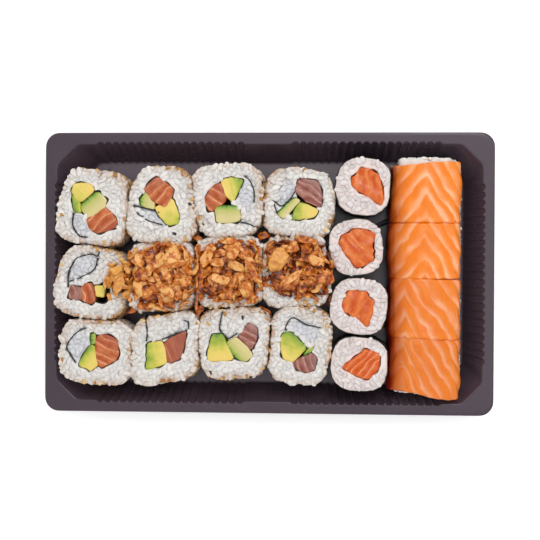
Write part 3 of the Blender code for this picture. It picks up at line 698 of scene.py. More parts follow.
def boiled_rice(name, crevice_shade_and_dim_grain_colour, colour, light_colour, stain_and_shade_colour):
    """Boiled short-grain rice dressed with vinegar: white and moist, with stains of oil and sesame. Some
    shade is painted in:
    a darker core between grains, bluish folds and seams, and brown on the side walls, where the stain stands
    in for shade between rolls as well as oil.
    """
    material, tree = start_material(name)
    place = add_node(tree, "ShaderNodeTexCoord").outputs["Object"]
    tone, shade, oily = (add_node(tree, "ShaderNodeAttribute", attribute_name=name).outputs["Fac"]
                         for name in ("tone", "shade", "oil"))
    cloud = add_node(tree, "ShaderNodeTexNoise", {"Vector": place, "Scale": 1 / (3.5 * MM)})
    amount = add_node(tree, "ShaderNodeMath", {0: tone, 1: 0.5, 2: cloud}, operation="MULTIPLY_ADD")
    # Low tones get the darker colour: dimmer grains, and the core between the grains as painted crevice shade
    ramp = add_node(tree, "ShaderNodeValToRGB", {"Fac": amount},
                    stops=((0.35, crevice_shade_and_dim_grain_colour), (0.7, colour), (1.0, light_colour)))
    # Painted shade: rice in the folds and along the seams is mixed towards a bluish grey
    shaded = add_node(tree, "ShaderNodeMix", {0: shade, 6: ramp, 7: "#ced0d8"}, data_type="RGBA")
    # Brown stain, partly real oil and sesame and partly painted shade: the oil mask covers every side wall
    # between rolls
    stain_and_shade_noise = add_node(tree, "ShaderNodeTexNoise", {"Vector": place, "Scale": 1 / (6 * MM), "Detail": 3.0})
    stain_and_shade_patches = add_node(tree, "ShaderNodeMapRange", {
        "Value": stain_and_shade_noise, "From Min": 0.4, "From Max": 0.6, "To Min": 0.3,
    })
    stain_and_shade = add_node(tree, "ShaderNodeMath", {0: stain_and_shade_patches, 1: oily}, operation="MULTIPLY")
    tinted = add_node(tree, "ShaderNodeMix", {0: stain_and_shade, 6: shaded, 7: stain_and_shade_colour}, data_type="RGBA")
    fine = add_node(tree, "ShaderNodeTexNoise", {"Vector": place, "Scale": 1 / (0.9 * MM)})
    return finish(material, tinted, 0.42, (fine, 0.4, 0.25), (0.35, (1.0, 0.9, 0.8), 1.4), ior=1.42)


def roasted_seaweed():
    """Roasted laver gone moist against the rice: green black, wrinkled, with a dull sheen."""
    material, tree = start_material("roasted seaweed")
    place = add_node(tree, "ShaderNodeTexCoord").outputs["Object"]
    fibre = add_node(tree, "ShaderNodeTexNoise", {"Vector": place, "Scale": 1 / (0.7 * MM), "Detail": 4.0})
    ramp = add_node(tree, "ShaderNodeValToRGB", {"Fac": fibre},
                    stops=((0.3, "#0b0d0a"), (0.6, "#171a12"), (0.8, "#2b2c1c")))
    return finish(material, ramp, 0.48, (fibre, 0.5, 0.2))


def raw_fish(name, deep, flesh, pale, fat, dull, line_spacing, roughness):
    """Raw fish cut across the muscle: wet flesh in soft bands, a thin pale line between two flakes, and one
    side darker and duller."""
    material, tree = start_material(name)
    across, along, share = (add_node(tree, "ShaderNodeAttribute", attribute_name=name).outputs["Fac"]
                            for name in ("across", "along", "share"))
    place = add_node(tree, "ShaderNodeTexCoord").outputs["Object"]
    sway = add_node(tree, "ShaderNodeTexNoise", {"Vector": place, "Scale": 1 / (9 * MM), "Detail": 1.0})
    drift = add_node(tree, "ShaderNodeMath", {0: sway, 1: 6.0, 2: across}, operation="MULTIPLY_ADD")
    bend = add_node(tree, "ShaderNodeMath", {0: along, 1: 0.25, 2: drift}, operation="MULTIPLY_ADD")
    lines = add_node(tree, "ShaderNodeMath", {0: bend, 1: line_spacing}, operation="DIVIDE")
    phase = add_node(tree, "ShaderNodeMath", {0: lines}, operation="FRACT")
    ramp = add_node(tree, "ShaderNodeValToRGB", {"Fac": phase}, stops=(
        (0.0, fat), (0.05, fat), (0.11, flesh), (0.45, deep), (0.75, flesh), (0.95, pale), (1.0, fat)))
    patch = add_node(tree, "ShaderNodeTexNoise", {"Vector": place, "Scale": 1 / (4.5 * MM)})
    broad = add_node(tree, "ShaderNodeMapRange", {
        "Value": patch, "From Min": 0.48, "From Max": 0.65, "To Max": 0.55,
    })
    mixed = add_node(tree, "ShaderNodeMix", {0: broad, 6: ramp, 7: pale}, data_type="RGBA")
    fibre = add_node(tree, "ShaderNodeTexNoise", {"Vector": place, "Scale": 1 / (0.9 * MM), "Detail": 3.0})
    shade = add_node(tree, "ShaderNodeMapRange", {
        "Value": fibre, "From Min": 0.3, "From Max": 0.7, "To Max": 0.6,
    })
    fibrous = add_node(tree, "ShaderNodeMix", {0: shade, 6: mixed, 7: deep}, data_type="RGBA")
    darker_side = add_node(tree, "ShaderNodeMapRange", {
        "Value": share, "From Min": 0.35, "From Max": 1.4, "To Max": 0.95,
    }, interpolation_type="SMOOTHSTEP")
    colour = add_node(tree, "ShaderNodeMix", {0: darker_side, 6: fibrous, 7: dull}, data_type="RGBA")
    return finish(material, colour, roughness, (fibre, 0.35, 0.3), (0.12, (1.0, 0.35, 0.15), 1.6), ior=1.4)


def ripe_avocado():
    """Ripe avocado: butter yellow by the stone, turning green under the skin, with a smeared cut."""
    material, tree = start_material("ripe avocado")
    share = add_node(tree, "ShaderNodeAttribute", attribute_name="share").outputs["Fac"]
    place = add_node(tree, "ShaderNodeTexCoord").outputs["Object"]
    blotch = add_node(tree, "ShaderNodeTexNoise", {"Vector": place, "Scale": 1 / (4 * MM)})
    shift = add_node(tree, "ShaderNodeMapRange", {
        "Value": blotch, "From Min": 0.3, "From Max": 0.7, "To Min": -0.12, "To Max": 0.12,
    })
    amount = add_node(tree, "ShaderNodeMath", {0: share, 1: shift}, operation="ADD")
    ramp = add_node(tree, "ShaderNodeValToRGB", {"Fac": amount}, stops=(
        (0.0, "#e8c968"), (0.3, "#e2cb66"), (0.55, "#c8c04e"), (0.8, "#8fa62e"), (1.0, "#4f7a17")))
    smear = add_node(tree, "ShaderNodeTexNoise", {"Vector": place, "Scale": 1 / (1.6 * MM), "Detail": 3.0})
    return finish(material, ramp, 0.38, (smear, 0.35, 0.3), (0.15, (1.0, 0.9, 0.3), 1.5))


def fresh_cucumber():
    """Fresh cucumber: a thin dark green skin, then pale wet flesh that streaks away from it."""
    material, tree = start_material("fresh cucumber")
    along, share = (add_node(tree, "ShaderNodeAttribute", attribute_name=name).outputs["Fac"]
                    for name in ("along", "share"))
    place = add_node(tree, "ShaderNodeTexCoord").outputs["Object"]
    streak = add_node(tree, "ShaderNodeMath", {0: along, 1: 0.9}, operation="MULTIPLY")
    streaks = add_node(tree, "ShaderNodeTexNoise", {"W": streak, "Scale": 1.0}, noise_dimensions="1D")
    shift = add_node(tree, "ShaderNodeMapRange", {
        "Value": streaks, "From Min": 0.3, "From Max": 0.7, "To Min": -0.05, "To Max": 0.05,
    })
    amount = add_node(tree, "ShaderNodeMath", {0: share, 1: shift}, operation="ADD")
    ramp = add_node(tree, "ShaderNodeValToRGB", {"Fac": amount}, stops=(
        (0.0, "#27430f"), (0.07, "#47751a"), (0.16, "#8aa83a"), (0.32, "#b9b967"), (0.65, "#d1c484"),
        (1.0, "#d6c88b")))
    wet = add_node(tree, "ShaderNodeTexNoise", {"Vector": place, "Scale": 1 / (1.2 * MM)})
    return finish(material, ramp, 0.25, (wet, 0.2, 0.2), (0.15, (1.0, 1.0, 0.6), 1.5))


def salmon_slice(settings):
    """Raw salmon sliced along the side: wet orange flesh, soft uneven bands of fat that meet in tips, and
    painted shade in deep red down its left side, where it drops into the gap.
    """
    material, tree = start_material("raw salmon slice")
    place = add_node(tree, "ShaderNodeTexCoord").outputs["Object"]
    phase = add_node(tree, "ShaderNodeAttribute", attribute_name="marbling").outputs["Fac"]
    sway = add_node(tree, "ShaderNodeTexNoise", {"Vector": place, "Scale": 1 / (13 * MM), "Detail": 4.0})
    drift = add_node(tree, "ShaderNodeMath", {0: sway, 1: 1.0, 2: phase}, operation="MULTIPLY_ADD")
    wave = add_node(tree, "ShaderNodeMath", {0: drift}, operation="FRACT")
    band = add_node(tree, "ShaderNodeMath", {0: drift}, operation="FLOOR")
    fade = add_node(tree, "ShaderNodeTexNoise",
                    {"Vector": place, "W": band, "Scale": 1 / (11 * MM), "Detail": 1.0},
                    noise_dimensions="4D")
    strength = add_node(tree, "ShaderNodeMapRange", {
        "Value": fade, "From Min": 0.35, "From Max": 0.6, "To Min": 0.15, "To Max": 0.95,
    })
    ramp = add_node(tree, "ShaderNodeValToRGB", {"Fac": wave}, stops=(
        (0.0, "#ffffff"), (0.17, "#f0f0f0"), (0.3, "#989898"), (0.46, "#404040"), (0.62, "#000000"),
        (0.82, "#101010"), (0.92, "#a8a8a8"), (1.0, "#ffffff")))
    # Painted shade: down the left side the slice is mixed towards deep red, and its fat lines fade
    flank_shade = add_node(tree, "ShaderNodeAttribute", attribute_name="flank_shade").outputs["Fac"]
    lean = add_node(tree, "ShaderNodeMapRange",
                    {"Value": flank_shade, "From Max": 0.5, "To Min": 1.0, "To Max": 0.5})
    visible = add_node(tree, "ShaderNodeMath", {0: strength, 1: lean}, operation="MULTIPLY")
    fat = add_node(tree, "ShaderNodeMath", {0: ramp, 1: visible}, operation="MULTIPLY")
    deep = add_node(tree, "ShaderNodeTexNoise", {"Vector": place, "Scale": 1 / (10 * MM), "Detail": 1.0})
    flesh = add_node(tree, "ShaderNodeMix", {0: deep, 6: settings.deep, 7: settings.flesh}, data_type="RGBA")
    along = add_node(tree, "ShaderNodeMapping", {"Vector": place, "Scale": (1.0, 0.12, 1.0)})
    fibre = add_node(tree, "ShaderNodeTexNoise", {"Vector": along, "Scale": 1 / (0.55 * MM)})
    streak = add_node(tree, "ShaderNodeMapRange", {
        "Value": fibre, "From Min": 0.4, "From Max": 0.75, "To Max": 0.35,
    })
    streaked = add_node(tree, "ShaderNodeMix", {0: streak, 6: flesh, 7: settings.streak}, data_type="RGBA")
    banded = add_node(tree, "ShaderNodeMix", {0: fat, 6: streaked, 7: settings.fat}, data_type="RGBA")
    colour = add_node(tree, "ShaderNodeMix", {0: flank_shade, 6: banded, 7: settings.flank_shade}, data_type="RGBA")
    return finish(material, colour, 0.3, (fibre, 0.3, 0.25), (0.12, (1.0, 0.3, 0.1), 2.0), ior=1.4)


def fried_onion_flakes(settings):
    """Onion fried crisp: blistered amber flakes with dark edges and pale hearts, shiny with oil."""
    material, tree = start_material("crisp fried onion")
    place = add_node(tree, "ShaderNodeTexCoord").outputs["Object"]
    tone = add_node(tree, "ShaderNodeAttribute", attribute_name="tone").outputs["Fac"]
    scorch = add_node(tree, "ShaderNodeTexNoise", {"Vector": place, "Scale": 1 / (2.6 * MM), "Detail": 4.0})
    spread = add_node(tree, "ShaderNodeMath", {0: scorch, 1: 2.4, 2: -0.95}, operation="MULTIPLY_ADD")
    amount = add_node(tree, "ShaderNodeMath", {0: tone, 1: 0.75, 2: spread}, operation="MULTIPLY_ADD")
    ramp = add_node(tree, "ShaderNodeValToRGB", {"Fac": amount}, stops=(
        (0.1, settings.dark), (0.32, "#8c3a08"), (0.55, settings.amber), (0.78, "#d07c2c"),
        (1.0, settings.light)))
    soft = add_node(tree, "ShaderNodeMapRange", {"Value": tone, "From Min": 1.0, "From Max": 2.0})
    oily = add_node(tree, "ShaderNodeValToRGB", {"Fac": scorch}, stops=(
        (0.34, "#a0500c"), (0.5, settings.golden), (0.68, "#ecb658")))
    colour = add_node(tree, "ShaderNodeMix", {0: soft, 6: ramp, 7: oily}, data_type="RGBA")
    blister = add_node(tree, "ShaderNodeTexNoise", {"Vector": place, "Scale": 1 / (0.9 * MM), "Detail": 3.0})
    return finish(material, colour, 0.2, (blister, 0.7, 0.5), (0.12, (1.0, 0.5, 0.2), 1.0))


def sesame_seeds():
    """Toasted sesame, mostly golden with a black seed here and there, with a dull oily skin."""
    material, tree = start_material("toasted sesame")
    tone = add_node(tree, "ShaderNodeAttribute", attribute_name="tone").outputs["Fac"]
    ramp = add_node(tree, "ShaderNodeValToRGB", {"Fac": tone}, stops=(
        (0.0, "#17120f"), (0.2, "#1d1612"), (0.21, "#a9702c"), (0.5, "#cf9a4d"), (1.0, "#e6c68a")))
    return finish(material, ramp, 0.45)


def light_table():
    """Opal acrylic of a light table, for the floor: matt white with a faint glow that softens the shadows."""
    material, tree = start_material("opal acrylic")
    place = add_node(tree, "ShaderNodeTexCoord").outputs["Object"]
    paint = add_node(tree, "ShaderNodeTexNoise", {"Vector": place, "Scale": 1 / (60 * MM)})
    colour = add_node(tree, "ShaderNodeMix", {0: paint, 6: "#f6f6f6", 7: "#fafafa"}, data_type="RGBA")
    return finish(material, colour, 0.8, glow=0.35)


# The tray


FLUTE_STEPS = 10  # points from one rib to the next
FLUTE_SHOULDER = 0.31  # of the pitch, from a rib to the groove's full depth
FLUTE_FOOT_LONG = 0.5  # share of a groove's depth that is left at the floor
FLUTE_FOOT_SHORT = 0.1
FLUTES_CONVERGE = 0.03
CORNER_WIDENS = 0.045  # how much longer a cut corner's leg is at the floor
CORNER_STEPS = 14


def build_moulded_tray(settings, material):
    """The tray as one thin sheet: floor, fluted walls with cut corners, rounded rim and turned-down lip."""
    rows, stations = tray_rows(settings), tray_stations(settings)
    points, counts, shares, outwards = [], [], [], []
    for lean, height, spread, rise, press in rows:
        ring = [tray_point(settings, station, lean, spread) for station in stations]
        for (x, y), station in zip(round_corners(ring), stations):
            least = FLUTE_FOOT_LONG if station["long"] else FLUTE_FOOT_SHORT
            points.append((x, y, height))
            counts.append(station["flute"])
            shares.append(station["fluted"] * press * (least + (1 - least) * rise))
            outwards.append(station["outward"])
    count = len(stations)
    faces = ring_faces(count, len(rows))
    middle = len(points)
    points.append((0, 0, settings.sheet))
    counts.append(0.0)
    shares.append(0.0)
    outwards.append((0, 0, 0))
    faces += [((i + 1) % count, i, middle) for i in range(count)]
    sheet = add_piece("plain_tray", points, faces, material, {"flute": counts, "flute_share": shares})
    way = sheet.data.attributes.new("outward", "FLOAT_VECTOR", "POINT")
    way.data.foreach_set("vector", [value for vector in outwards for value in vector])
    mesh = through_tree(sheet, flute_tree(), "moulded_tray", {
        "Depth": settings.flute_depth, "Shoulder": FLUTE_SHOULDER, "Material": material,
    })
    bpy.data.objects.remove(sheet)
    tray = add_object("moulded_tray", mesh)
    face_up(tray.data)
    thick = tray.modifiers.new("sheet", "SOLIDIFY")
    thick.thickness = settings.sheet
    thick.offset = -1.0
    hand_over(tray, "black_plastic", "tray")


def face_up(mesh):
    """Turns the sheet's faces so that the one in the middle of the floor looks up."""
    shape = bmesh.new()
    shape.from_mesh(mesh)
    bmesh.ops.recalc_face_normals(shape, faces=shape.faces)
    shape.faces.ensure_lookup_table()
    floor = min(shape.faces, key=lambda face: face.calc_center_median().xy.length)
    if floor.normal.z < 0:
        bmesh.ops.reverse_faces(shape, faces=shape.faces)
    shape.to_mesh(mesh)
    shape.free()


def tray_rows(settings):
    """From the floor to the lip: how far in from the wall's top, height, share of the way to the rim's edge,
    share of the wall's height, and how far the flutes are pressed there."""
    floor, top = settings.sheet, TRAY_HIGH.z
    slope, depth = settings.wall_slope, TRAY_HIGH.z - settings.sheet
    upright = math.atan(slope / depth)
    foot, rim, edge = 1.2 * MM, 0.7 * MM, 0.9 * MM
    tangent = math.tan((math.pi / 2 - upright) / 2)
    rows = [(slope + 9 * MM, floor, 0.0, 0.0, 0.0), (slope + foot * tangent + 0.9 * MM, floor, 0.0, 0.0, 0.0)]
    for step in range(5):
        turn = (math.pi / 2 - upright) * step / 4
        lean = slope + foot * (tangent - math.sin(turn))
        rows.append((lean, floor + foot * (1 - math.cos(turn)), 0.0, 0.0, min(1.0, 0.5 + step / 4)))
    low, high = rows[-1][1], top - rim * (1 - math.sin(upright))
    for step in range(1, 7):
        height = low + (high - low) * step / 7
        rows.append((slope * (top - height) / depth, height, 0.0, (height - floor) / depth, 1.0))
    for step in range(4):
        turn = upright + (math.pi / 2 - upright) * step / 3
        lean = rim * (math.cos(turn) - tangent)
        rows.append((lean, top - rim * (1 - math.sin(turn)), 0.0, 1.0, 1.0))
    start = -rim * tangent
    for across, press in ((0.3, 0.875), (1.2, 0.5), (2.4, 0.0), (4.2, 0.0)):
        rows.append((start, top, across * MM / settings.rim_width, 1.0, press))
    for step in range(5):
        turn = math.pi / 2 * step / 4
        spread = 1 - edge * (1 - math.sin(turn)) / settings.rim_width
        rows.append((start, top - edge * (1 - math.cos(turn)), spread, 1.0, 0.0))
    rows.append((start, top - settings.lip_drop, 1.0, 1.0, 0.0))
    return rows


def tray_stations(settings):
    """The points of one ring round the tray, as places on its four walls and its four cut corners."""
    stations = []
    pitch = settings.flute_pitch
    for quarter in range(4):
        long_side = quarter % 2 == 0
        half = TRAY_HIGH.x if long_side else TRAY_HIGH.y
        end = half - settings.rim_width - settings.corner_cut
        inner = settings.panel_width / 2 if long_side else 0.0
        outer = inner + pitch * (settings.long_side_flutes if long_side else settings.short_side_flutes / 2)
        places = [inner * i / 4 for i in range(4)] if long_side else []
        steps = round((outer - inner) / pitch * FLUTE_STEPS)
        places += [inner + pitch * i / FLUTE_STEPS for i in range(steps)]
        places += [outer + (end - outer) * i / 5 for i in range(6)]
        angle = quarter * math.pi / 2
        outward = (math.sin(angle), -math.cos(angle), 0.0)
        common = {"quarter": quarter, "end": end, "long": long_side, "flutes_end": outer}
        for along in [-place for place in reversed(places[1:])] + places:
            flute = (abs(along) - inner) / pitch + (0.0 if long_side else 0.5)
            fluted = 1.0 if inner <= abs(along) <= outer else 0.0
            stations.append({**common, "along": along, "turn": None, "flute": flute, "fluted": fluted,
                             "outward": outward})
        for step in range(1, CORNER_STEPS):
            stations.append({**common, "along": end, "turn": step / CORNER_STEPS, "flute": 0.0, "fluted": 0.0,
                             "outward": (0, 0, 0)})
    return stations


def tray_point(settings, station, lean, spread):
    """Where a station lies in plan on a ring: on the eight-sided wall, or part way to the rim's edge."""
    half_x, half_y = TRAY_HIGH.x - settings.rim_width, TRAY_HIGH.y - settings.rim_width
    across, length = (half_y, half_x) if station["long"] else (half_x, half_y)
    outer_across = across + settings.rim_width
    outer_length = length + settings.rim_width - settings.rim_corner
    down = max(0.0, lean / settings.wall_slope)
    cut = settings.corner_cut * (1 + CORNER_WIDENS * down)
    wall_end = length - lean - cut
    if station["turn"] is None:
        size, flutes_end = abs(station["along"]), station["flutes_end"]
        inner = flutes_end * (1 - FLUTES_CONVERGE * down)
        share = (size - flutes_end) / (station["end"] - flutes_end)
        along = math.copysign(size * inner / flutes_end if share < 0 else inner + (wall_end - inner) * share,
                              station["along"])
        wall = Vector((along, lean - across))
        edge = Vector((station["along"] * outer_length / station["end"], -outer_across))
    else:
        wall = Vector((wall_end, lean - across)).lerp(Vector((length - lean, lean + cut - across)),
                                                      station["turn"])
        angle = station["turn"] * math.pi / 2
        centre = Vector((outer_length, settings.rim_corner - outer_across))
        edge = centre + settings.rim_corner * Vector((math.sin(angle), -math.cos(angle)))
    x = wall.x + (edge.x - wall.x) * spread ** (1 if station["turn"] else 2)
    y = wall.y + (edge.y - wall.y) * spread
    c, s = ((1, 0), (0, 1), (-1, 0), (0, -1))[station["quarter"]]
    return x * c - y * s, x * s + y * c


def round_corners(ring, passes=2):
    """Softens the corners of a closed ring and leaves its straight runs as they are."""
    points = np.array(ring)
    for _ in range(passes):
        points = (np.roll(points, 1, axis=0) + 2 * points + np.roll(points, -1, axis=0)) / 4
    return points.tolist()


# Rice, seaweed and fillings of the rolls that stand on end


# The core between the grains takes this low tone, which the rice's ramp paints darker: painted shade in the
# crevices between grains
CORE_TONE = 0.3
ROLL_STEPS = 150  # points round a roll
SIDE_LEVELS = 11
TOP_RINGS = 9
ROUND_EDGE = 0.8 * MM
FOLD_DROP = 1.0 * MM
CORNER_GAIN = 1.1 * MM  # how much squarer the rice is than its solid
HOLE_MARGIN = 1.7 * MM  # no grain starts nearer to a filling
TOP_SEEDS = (0.35, 0.2, *[0.01] * (TOP_RINGS - 2))  # share of seeds on each ring of the cut face
FOOT_MARGIN = 3.0 * MM
SEAM_DEPTH = 1.5 * MM


def directions():
    angles = [math.tau * (i + 0.5) / ROLL_STEPS for i in range(ROLL_STEPS)]
    return [Vector((math.cos(angle), math.sin(angle), 0)) for angle in angles]


def roll_outlines(node, surface):
    """The rounded outline of each filling of a roll, in place."""
    middle = surface.middle.xy
    shapes = []
    for kind, way, start, end, corners in FILLINGS.get(node, ()):
        ragged = (0.8 if kind == "bright_salmon" else 0.35) * MM
        outline = cut_outline([middle + Vector(corner) * MM for corner in corners], ragged=ragged)
        shapes.append((kind, math.radians(way), start, end, outline))
    return shapes


def outline_reach(outline, origin, direction):
    """How far away a ray in the plane last crosses a closed outline, or 0."""
    side = Vector((-direction.y, direction.x))
    far = 0.0
    for i, point in enumerate(outline):
        a, b = outline[i - 1] - origin, point - origin
        off_a, off_b = a.dot(side), b.dot(side)
        if off_a * off_b > 0 or off_a == off_b:
            continue
        share = off_a / (off_a - off_b)
        far = max(far, a.lerp(b, share).dot(direction.xy))
    return far


def hole_reaches(shapes, origin, room):
    """How far the hole for the fillings reaches in each direction."""
    least = 2 * MM
    raw = []
    for way in directions():
        reach = max([least, *(outline_reach(outline, origin, way) for *_, outline in shapes)])
        raw.append(reach + room + bumps(origin.to_3d() + way * reach, 1.3 * MM, 4.5 * MM))
    smooth = [sum(raw[(i + k) % ROLL_STEPS] for k in (-2, -1, 0, 1, 2)) / 5 for i in range(ROLL_STEPS)]
    return [max(soft, hard) for soft, hard in zip(smooth, raw)]


def seam_paths(table, node, surface):
    """The smooth paths of a roll's seaweed ends or splits, in place."""
    middle = surface.middle.xy
    return [smooth_path([middle + Vector(corner) * MM for corner in path]) for path in table.get(node, ())]


def corner_share(surface, place):
    """From 0 at the middle of a roll's sides to 1 at its corners."""
    half = min(surface.high.x - surface.low.x, surface.high.y - surface.low.y) / 2
    return smooth_step(((place.xy - surface.middle.xy).length / half - 1.02) / 0.14)


def sesame_share(node, surface, place):
    """How much sesame sticks to the rim at a place: 1 in the directions where it shows."""
    arm = place - surface.middle
    bearing = math.degrees(math.atan2(arm.y, arm.x))
    nearest = min((abs((bearing - way + 180) % 360 - 180) for way in SESAME.get(node, ())), default=180)
    return smooth_step((42 - nearest) / 26)


def rice_profile(surface, origin, way, hole, top, room, bulge, side):
    """One upright section through the rice: out and up its side, over the top and down into the hole.

    Each entry is distance from the middle, height, share of grains, share of cut face and share of seeds."""
    foot = surface.low.z
    shoulder = top - ROUND_EDGE
    profile = []
    for level in range(SIDE_LEVELS):
        height = foot + 0.4 * MM + (shoulder - foot - 0.4 * MM) * level / (SIDE_LEVELS - 1)
        probe = min(height, surface.high.z - 2.6 * MM)
        distance = surface.reach(Vector((origin.x, origin.y, probe)), way) - room
        if side:
            distance += CORNER_GAIN * corner_share(surface, origin.to_3d() + way * distance)
        profile.append((distance, height, side, 0.0, 1.0))
    edge = profile[-1][0] + bulge
    for step in (1, 2, 3, 4):
        angle = step / 4 * math.pi / 2
        profile.append((edge - ROUND_EDGE * (1 - math.cos(angle)), shoulder + ROUND_EDGE * math.sin(angle),
                        side, min(1.0, 0.4 * step), 1.0 - 0.13 * step))
    start = profile[-1][0]
    inmost = hole + 0.6 * MM if hole else 1.5 * MM
    for ring in range(1, TOP_RINGS + 1):
        share = ring / TOP_RINGS
        distance = start + (inmost - start) * share
        clear = (not hole or distance > hole + HOLE_MARGIN) and (side or ring > 1)
        profile.append((distance, top, float(clear), 1.0, TOP_SEEDS[ring - 1]))
    if hole:
        profile += [(hole + 0.15 * MM, top - 0.25 * MM, 0.0, 1.0, 0.0), (hole, top - 1.0 * MM, 0.0, 0.0, 0.0),
                    (hole, top - 7 * MM, 0.0, 0.0, 0.0), (hole, foot, 0.0, 0.0, 0.0)]
    return [(profile[0][0] - 1.2 * MM, foot, 0.0, 0.0, 0.0), *profile]


def rice_core(node, surface, origin, holes, seams, fold, room, top, lumps, bulge=0.0, side=1.0):
    """The pressed rice of one roll, as a ring round its filling, or whole where no filling shows."""
    ways = directions()
    sections = [
        rice_profile(surface, origin, way, hole, top, room, bulge, side) for way, hole in zip(ways, holes)
    ]
    points, values = [], {"grains": [], "cut": [], "seeds": [], "shade": [], "oil": []}
    for level in range(len(sections[0])):
        for way, section in zip(ways, sections):
            distance, height, grain, cut, seed = section[level]
            place = Vector((origin.x, origin.y, height)) + way * distance
            gap = min([1.0, *(path_distance(place.xy, path) for path in seams)])
            dip = math.exp(-(gap / (0.9 * MM)) ** 2)
            sunk = smooth_step(inside_depth(place.xy, fold) / (1.0 * MM)) if fold and cut else 0.0
            swell = bumps(place, lumps, 4 * MM) + bumps(place, lumps * 0.5, 1.8 * MM)
            if level > 0 and height > surface.low.z:
                wide = bumps(place, lumps, 9 * MM)
                place += way * ((1 - cut) * (swell + wide - SEAM_DEPTH * dip) + cut * swell * 0.5)
                place.z += cut * (0.8 * swell + bumps(place, 0.45 * MM, 8 * MM) - SEAM_DEPTH * dip
                                  - FOLD_DROP * sunk)
            points.append(place)
            hidden = 1 - smooth_step((place.z - surface.low.z - 5 * MM) / (6 * MM))
            buried = gap < 0.8 * MM or place.z < surface.low.z + FOOT_MARGIN
            patchy = smooth_step(0.55 + 2.0 * noise.noise(place / (7 * MM)))
            facing = sesame_share(node, surface, place)
            stuck = max(0.14, facing * patchy)
            low_down = place.z < surface.low.z + FOOT_MARGIN
            values["grains"].append(0.0 if buried else grain * (1 - 0.7 * hidden))
            values["cut"].append(cut)
            values["seeds"].append(0.0 if low_down else seed * (1 - 0.7 * hidden) * stuck)
            # Painted shade for the folds and seams, which the rice material turns bluish
            values["shade"].append(max(0.7 * sunk, 0.6 * dip))
            # Oil: real stain where the sesame sticks, and painted shade between rolls on all the side walls
            values["oil"].append((1 - 0.6 * cut) * (0.5 + 0.5 * facing) if seed > 0.3
                                 else 1.5 * seed * facing)
    count, rings = len(ways), len(sections[0])
    if holes[0]:
        faces = ring_faces(count, rings, closed=True)
    else:
        faces = capped_faces(count, rings)
        points += [Vector((origin.x, origin.y, surface.low.z)), Vector((origin.x, origin.y, top))]
        for key, shares in values.items():
            shares += [0.0, 1.0 if key in ("grains", "cut") else 0.0]
    return add_piece(f"{node}_core", points, faces, None, {**values, "tone": [CORE_TONE] * len(points)})


def seaweed_lining(name, surface, origin, holes, thickness, top, material):
    """The sheet of seaweed round the fillings, with an uneven upper edge."""
    points = []
    foot = surface.low.z + 0.2 * MM
    outer_room = 0.08 * MM
    for inset, height in ((outer_room, 0.0), (outer_room, 0.5), (outer_room, 1.0),
                          (outer_room + thickness, 1.0),
                          (outer_room + thickness, 0.5), (outer_room + thickness, 0.0)):
        for way, hole in zip(directions(), holes):
            place = Vector((origin.x, origin.y, 0)) + way * (hole - inset)
            edge = top - 0.3 * MM + bumps(place, 0.6 * MM, 3 * MM)
            place.z = foot + (edge - foot) * height
            points.append(place)
    return add_piece(name, points, ring_faces(ROLL_STEPS, 6, closed=True), material)


def seaweed_strip(name, path, thickness, top, material):
    """The end of the sheet, standing in the rice along a path."""
    deep = 7 * MM
    points = []
    for i, place in enumerate(path):
        ahead = path[min(i + 1, len(path) - 1)] - path[max(i - 1, 0)]
        side = Vector((-ahead.y, ahead.x)).normalized() * thickness / 2
        edge = top - 0.1 * MM + bumps(place.to_3d(), 0.6 * MM, 2 * MM)
        for offset, height in ((side, top - deep), (side, edge), (-side, edge), (-side, top - deep)):
            points.append((place + offset).to_3d() + Vector((0, 0, height)))
    count = len(path)
    points += [average(points[:4]), average(points[-4:])]
    return add_piece(name, points, capped_faces(4, count), material)


def join_pieces(name, pieces):
    """One piece from several, under a new name."""
    with bpy.context.temp_override(active_object=pieces[0], selected_editable_objects=pieces,
                                   selected_objects=pieces, object=pieces[0]):
        bpy.ops.object.join()
    joined = pieces[0]
    joined.name = name
    joined.data.name = name
    return joined


FILLING_RINGS = (  # inset in mm or None, share of the way in, drop from the top in mm
    (0.0, 0.0, None), (0.0, 0.0, 2.4), (0.0, 0.0, 0.8), (0.18, 0.0, 0.3), (0.5, 0.0, 0.06),
    (0.6, 0.10, 0.0), (0.6, 0.22, 0.0), (0.6, 0.36, 0.0), (0.6, 0.5, 0.0), (0.6, 0.64, 0.0), (0.6, 0.78, 0.0),
    (0.6, 0.9, 0.0),
)
FILLING_KINDS = {  # slot, and how far the ridges stand up on its cut face in mm
    "salmon": ("raw_salmon", 0.2), "bright_salmon": ("raw_salmon", 0.35),
    "lined_salmon": ("raw_salmon", 0.25),
    "tuna": ("raw_tuna", 0.25), "avocado": ("avocado", 0.12), "cucumber": ("cucumber", 0.05),
}


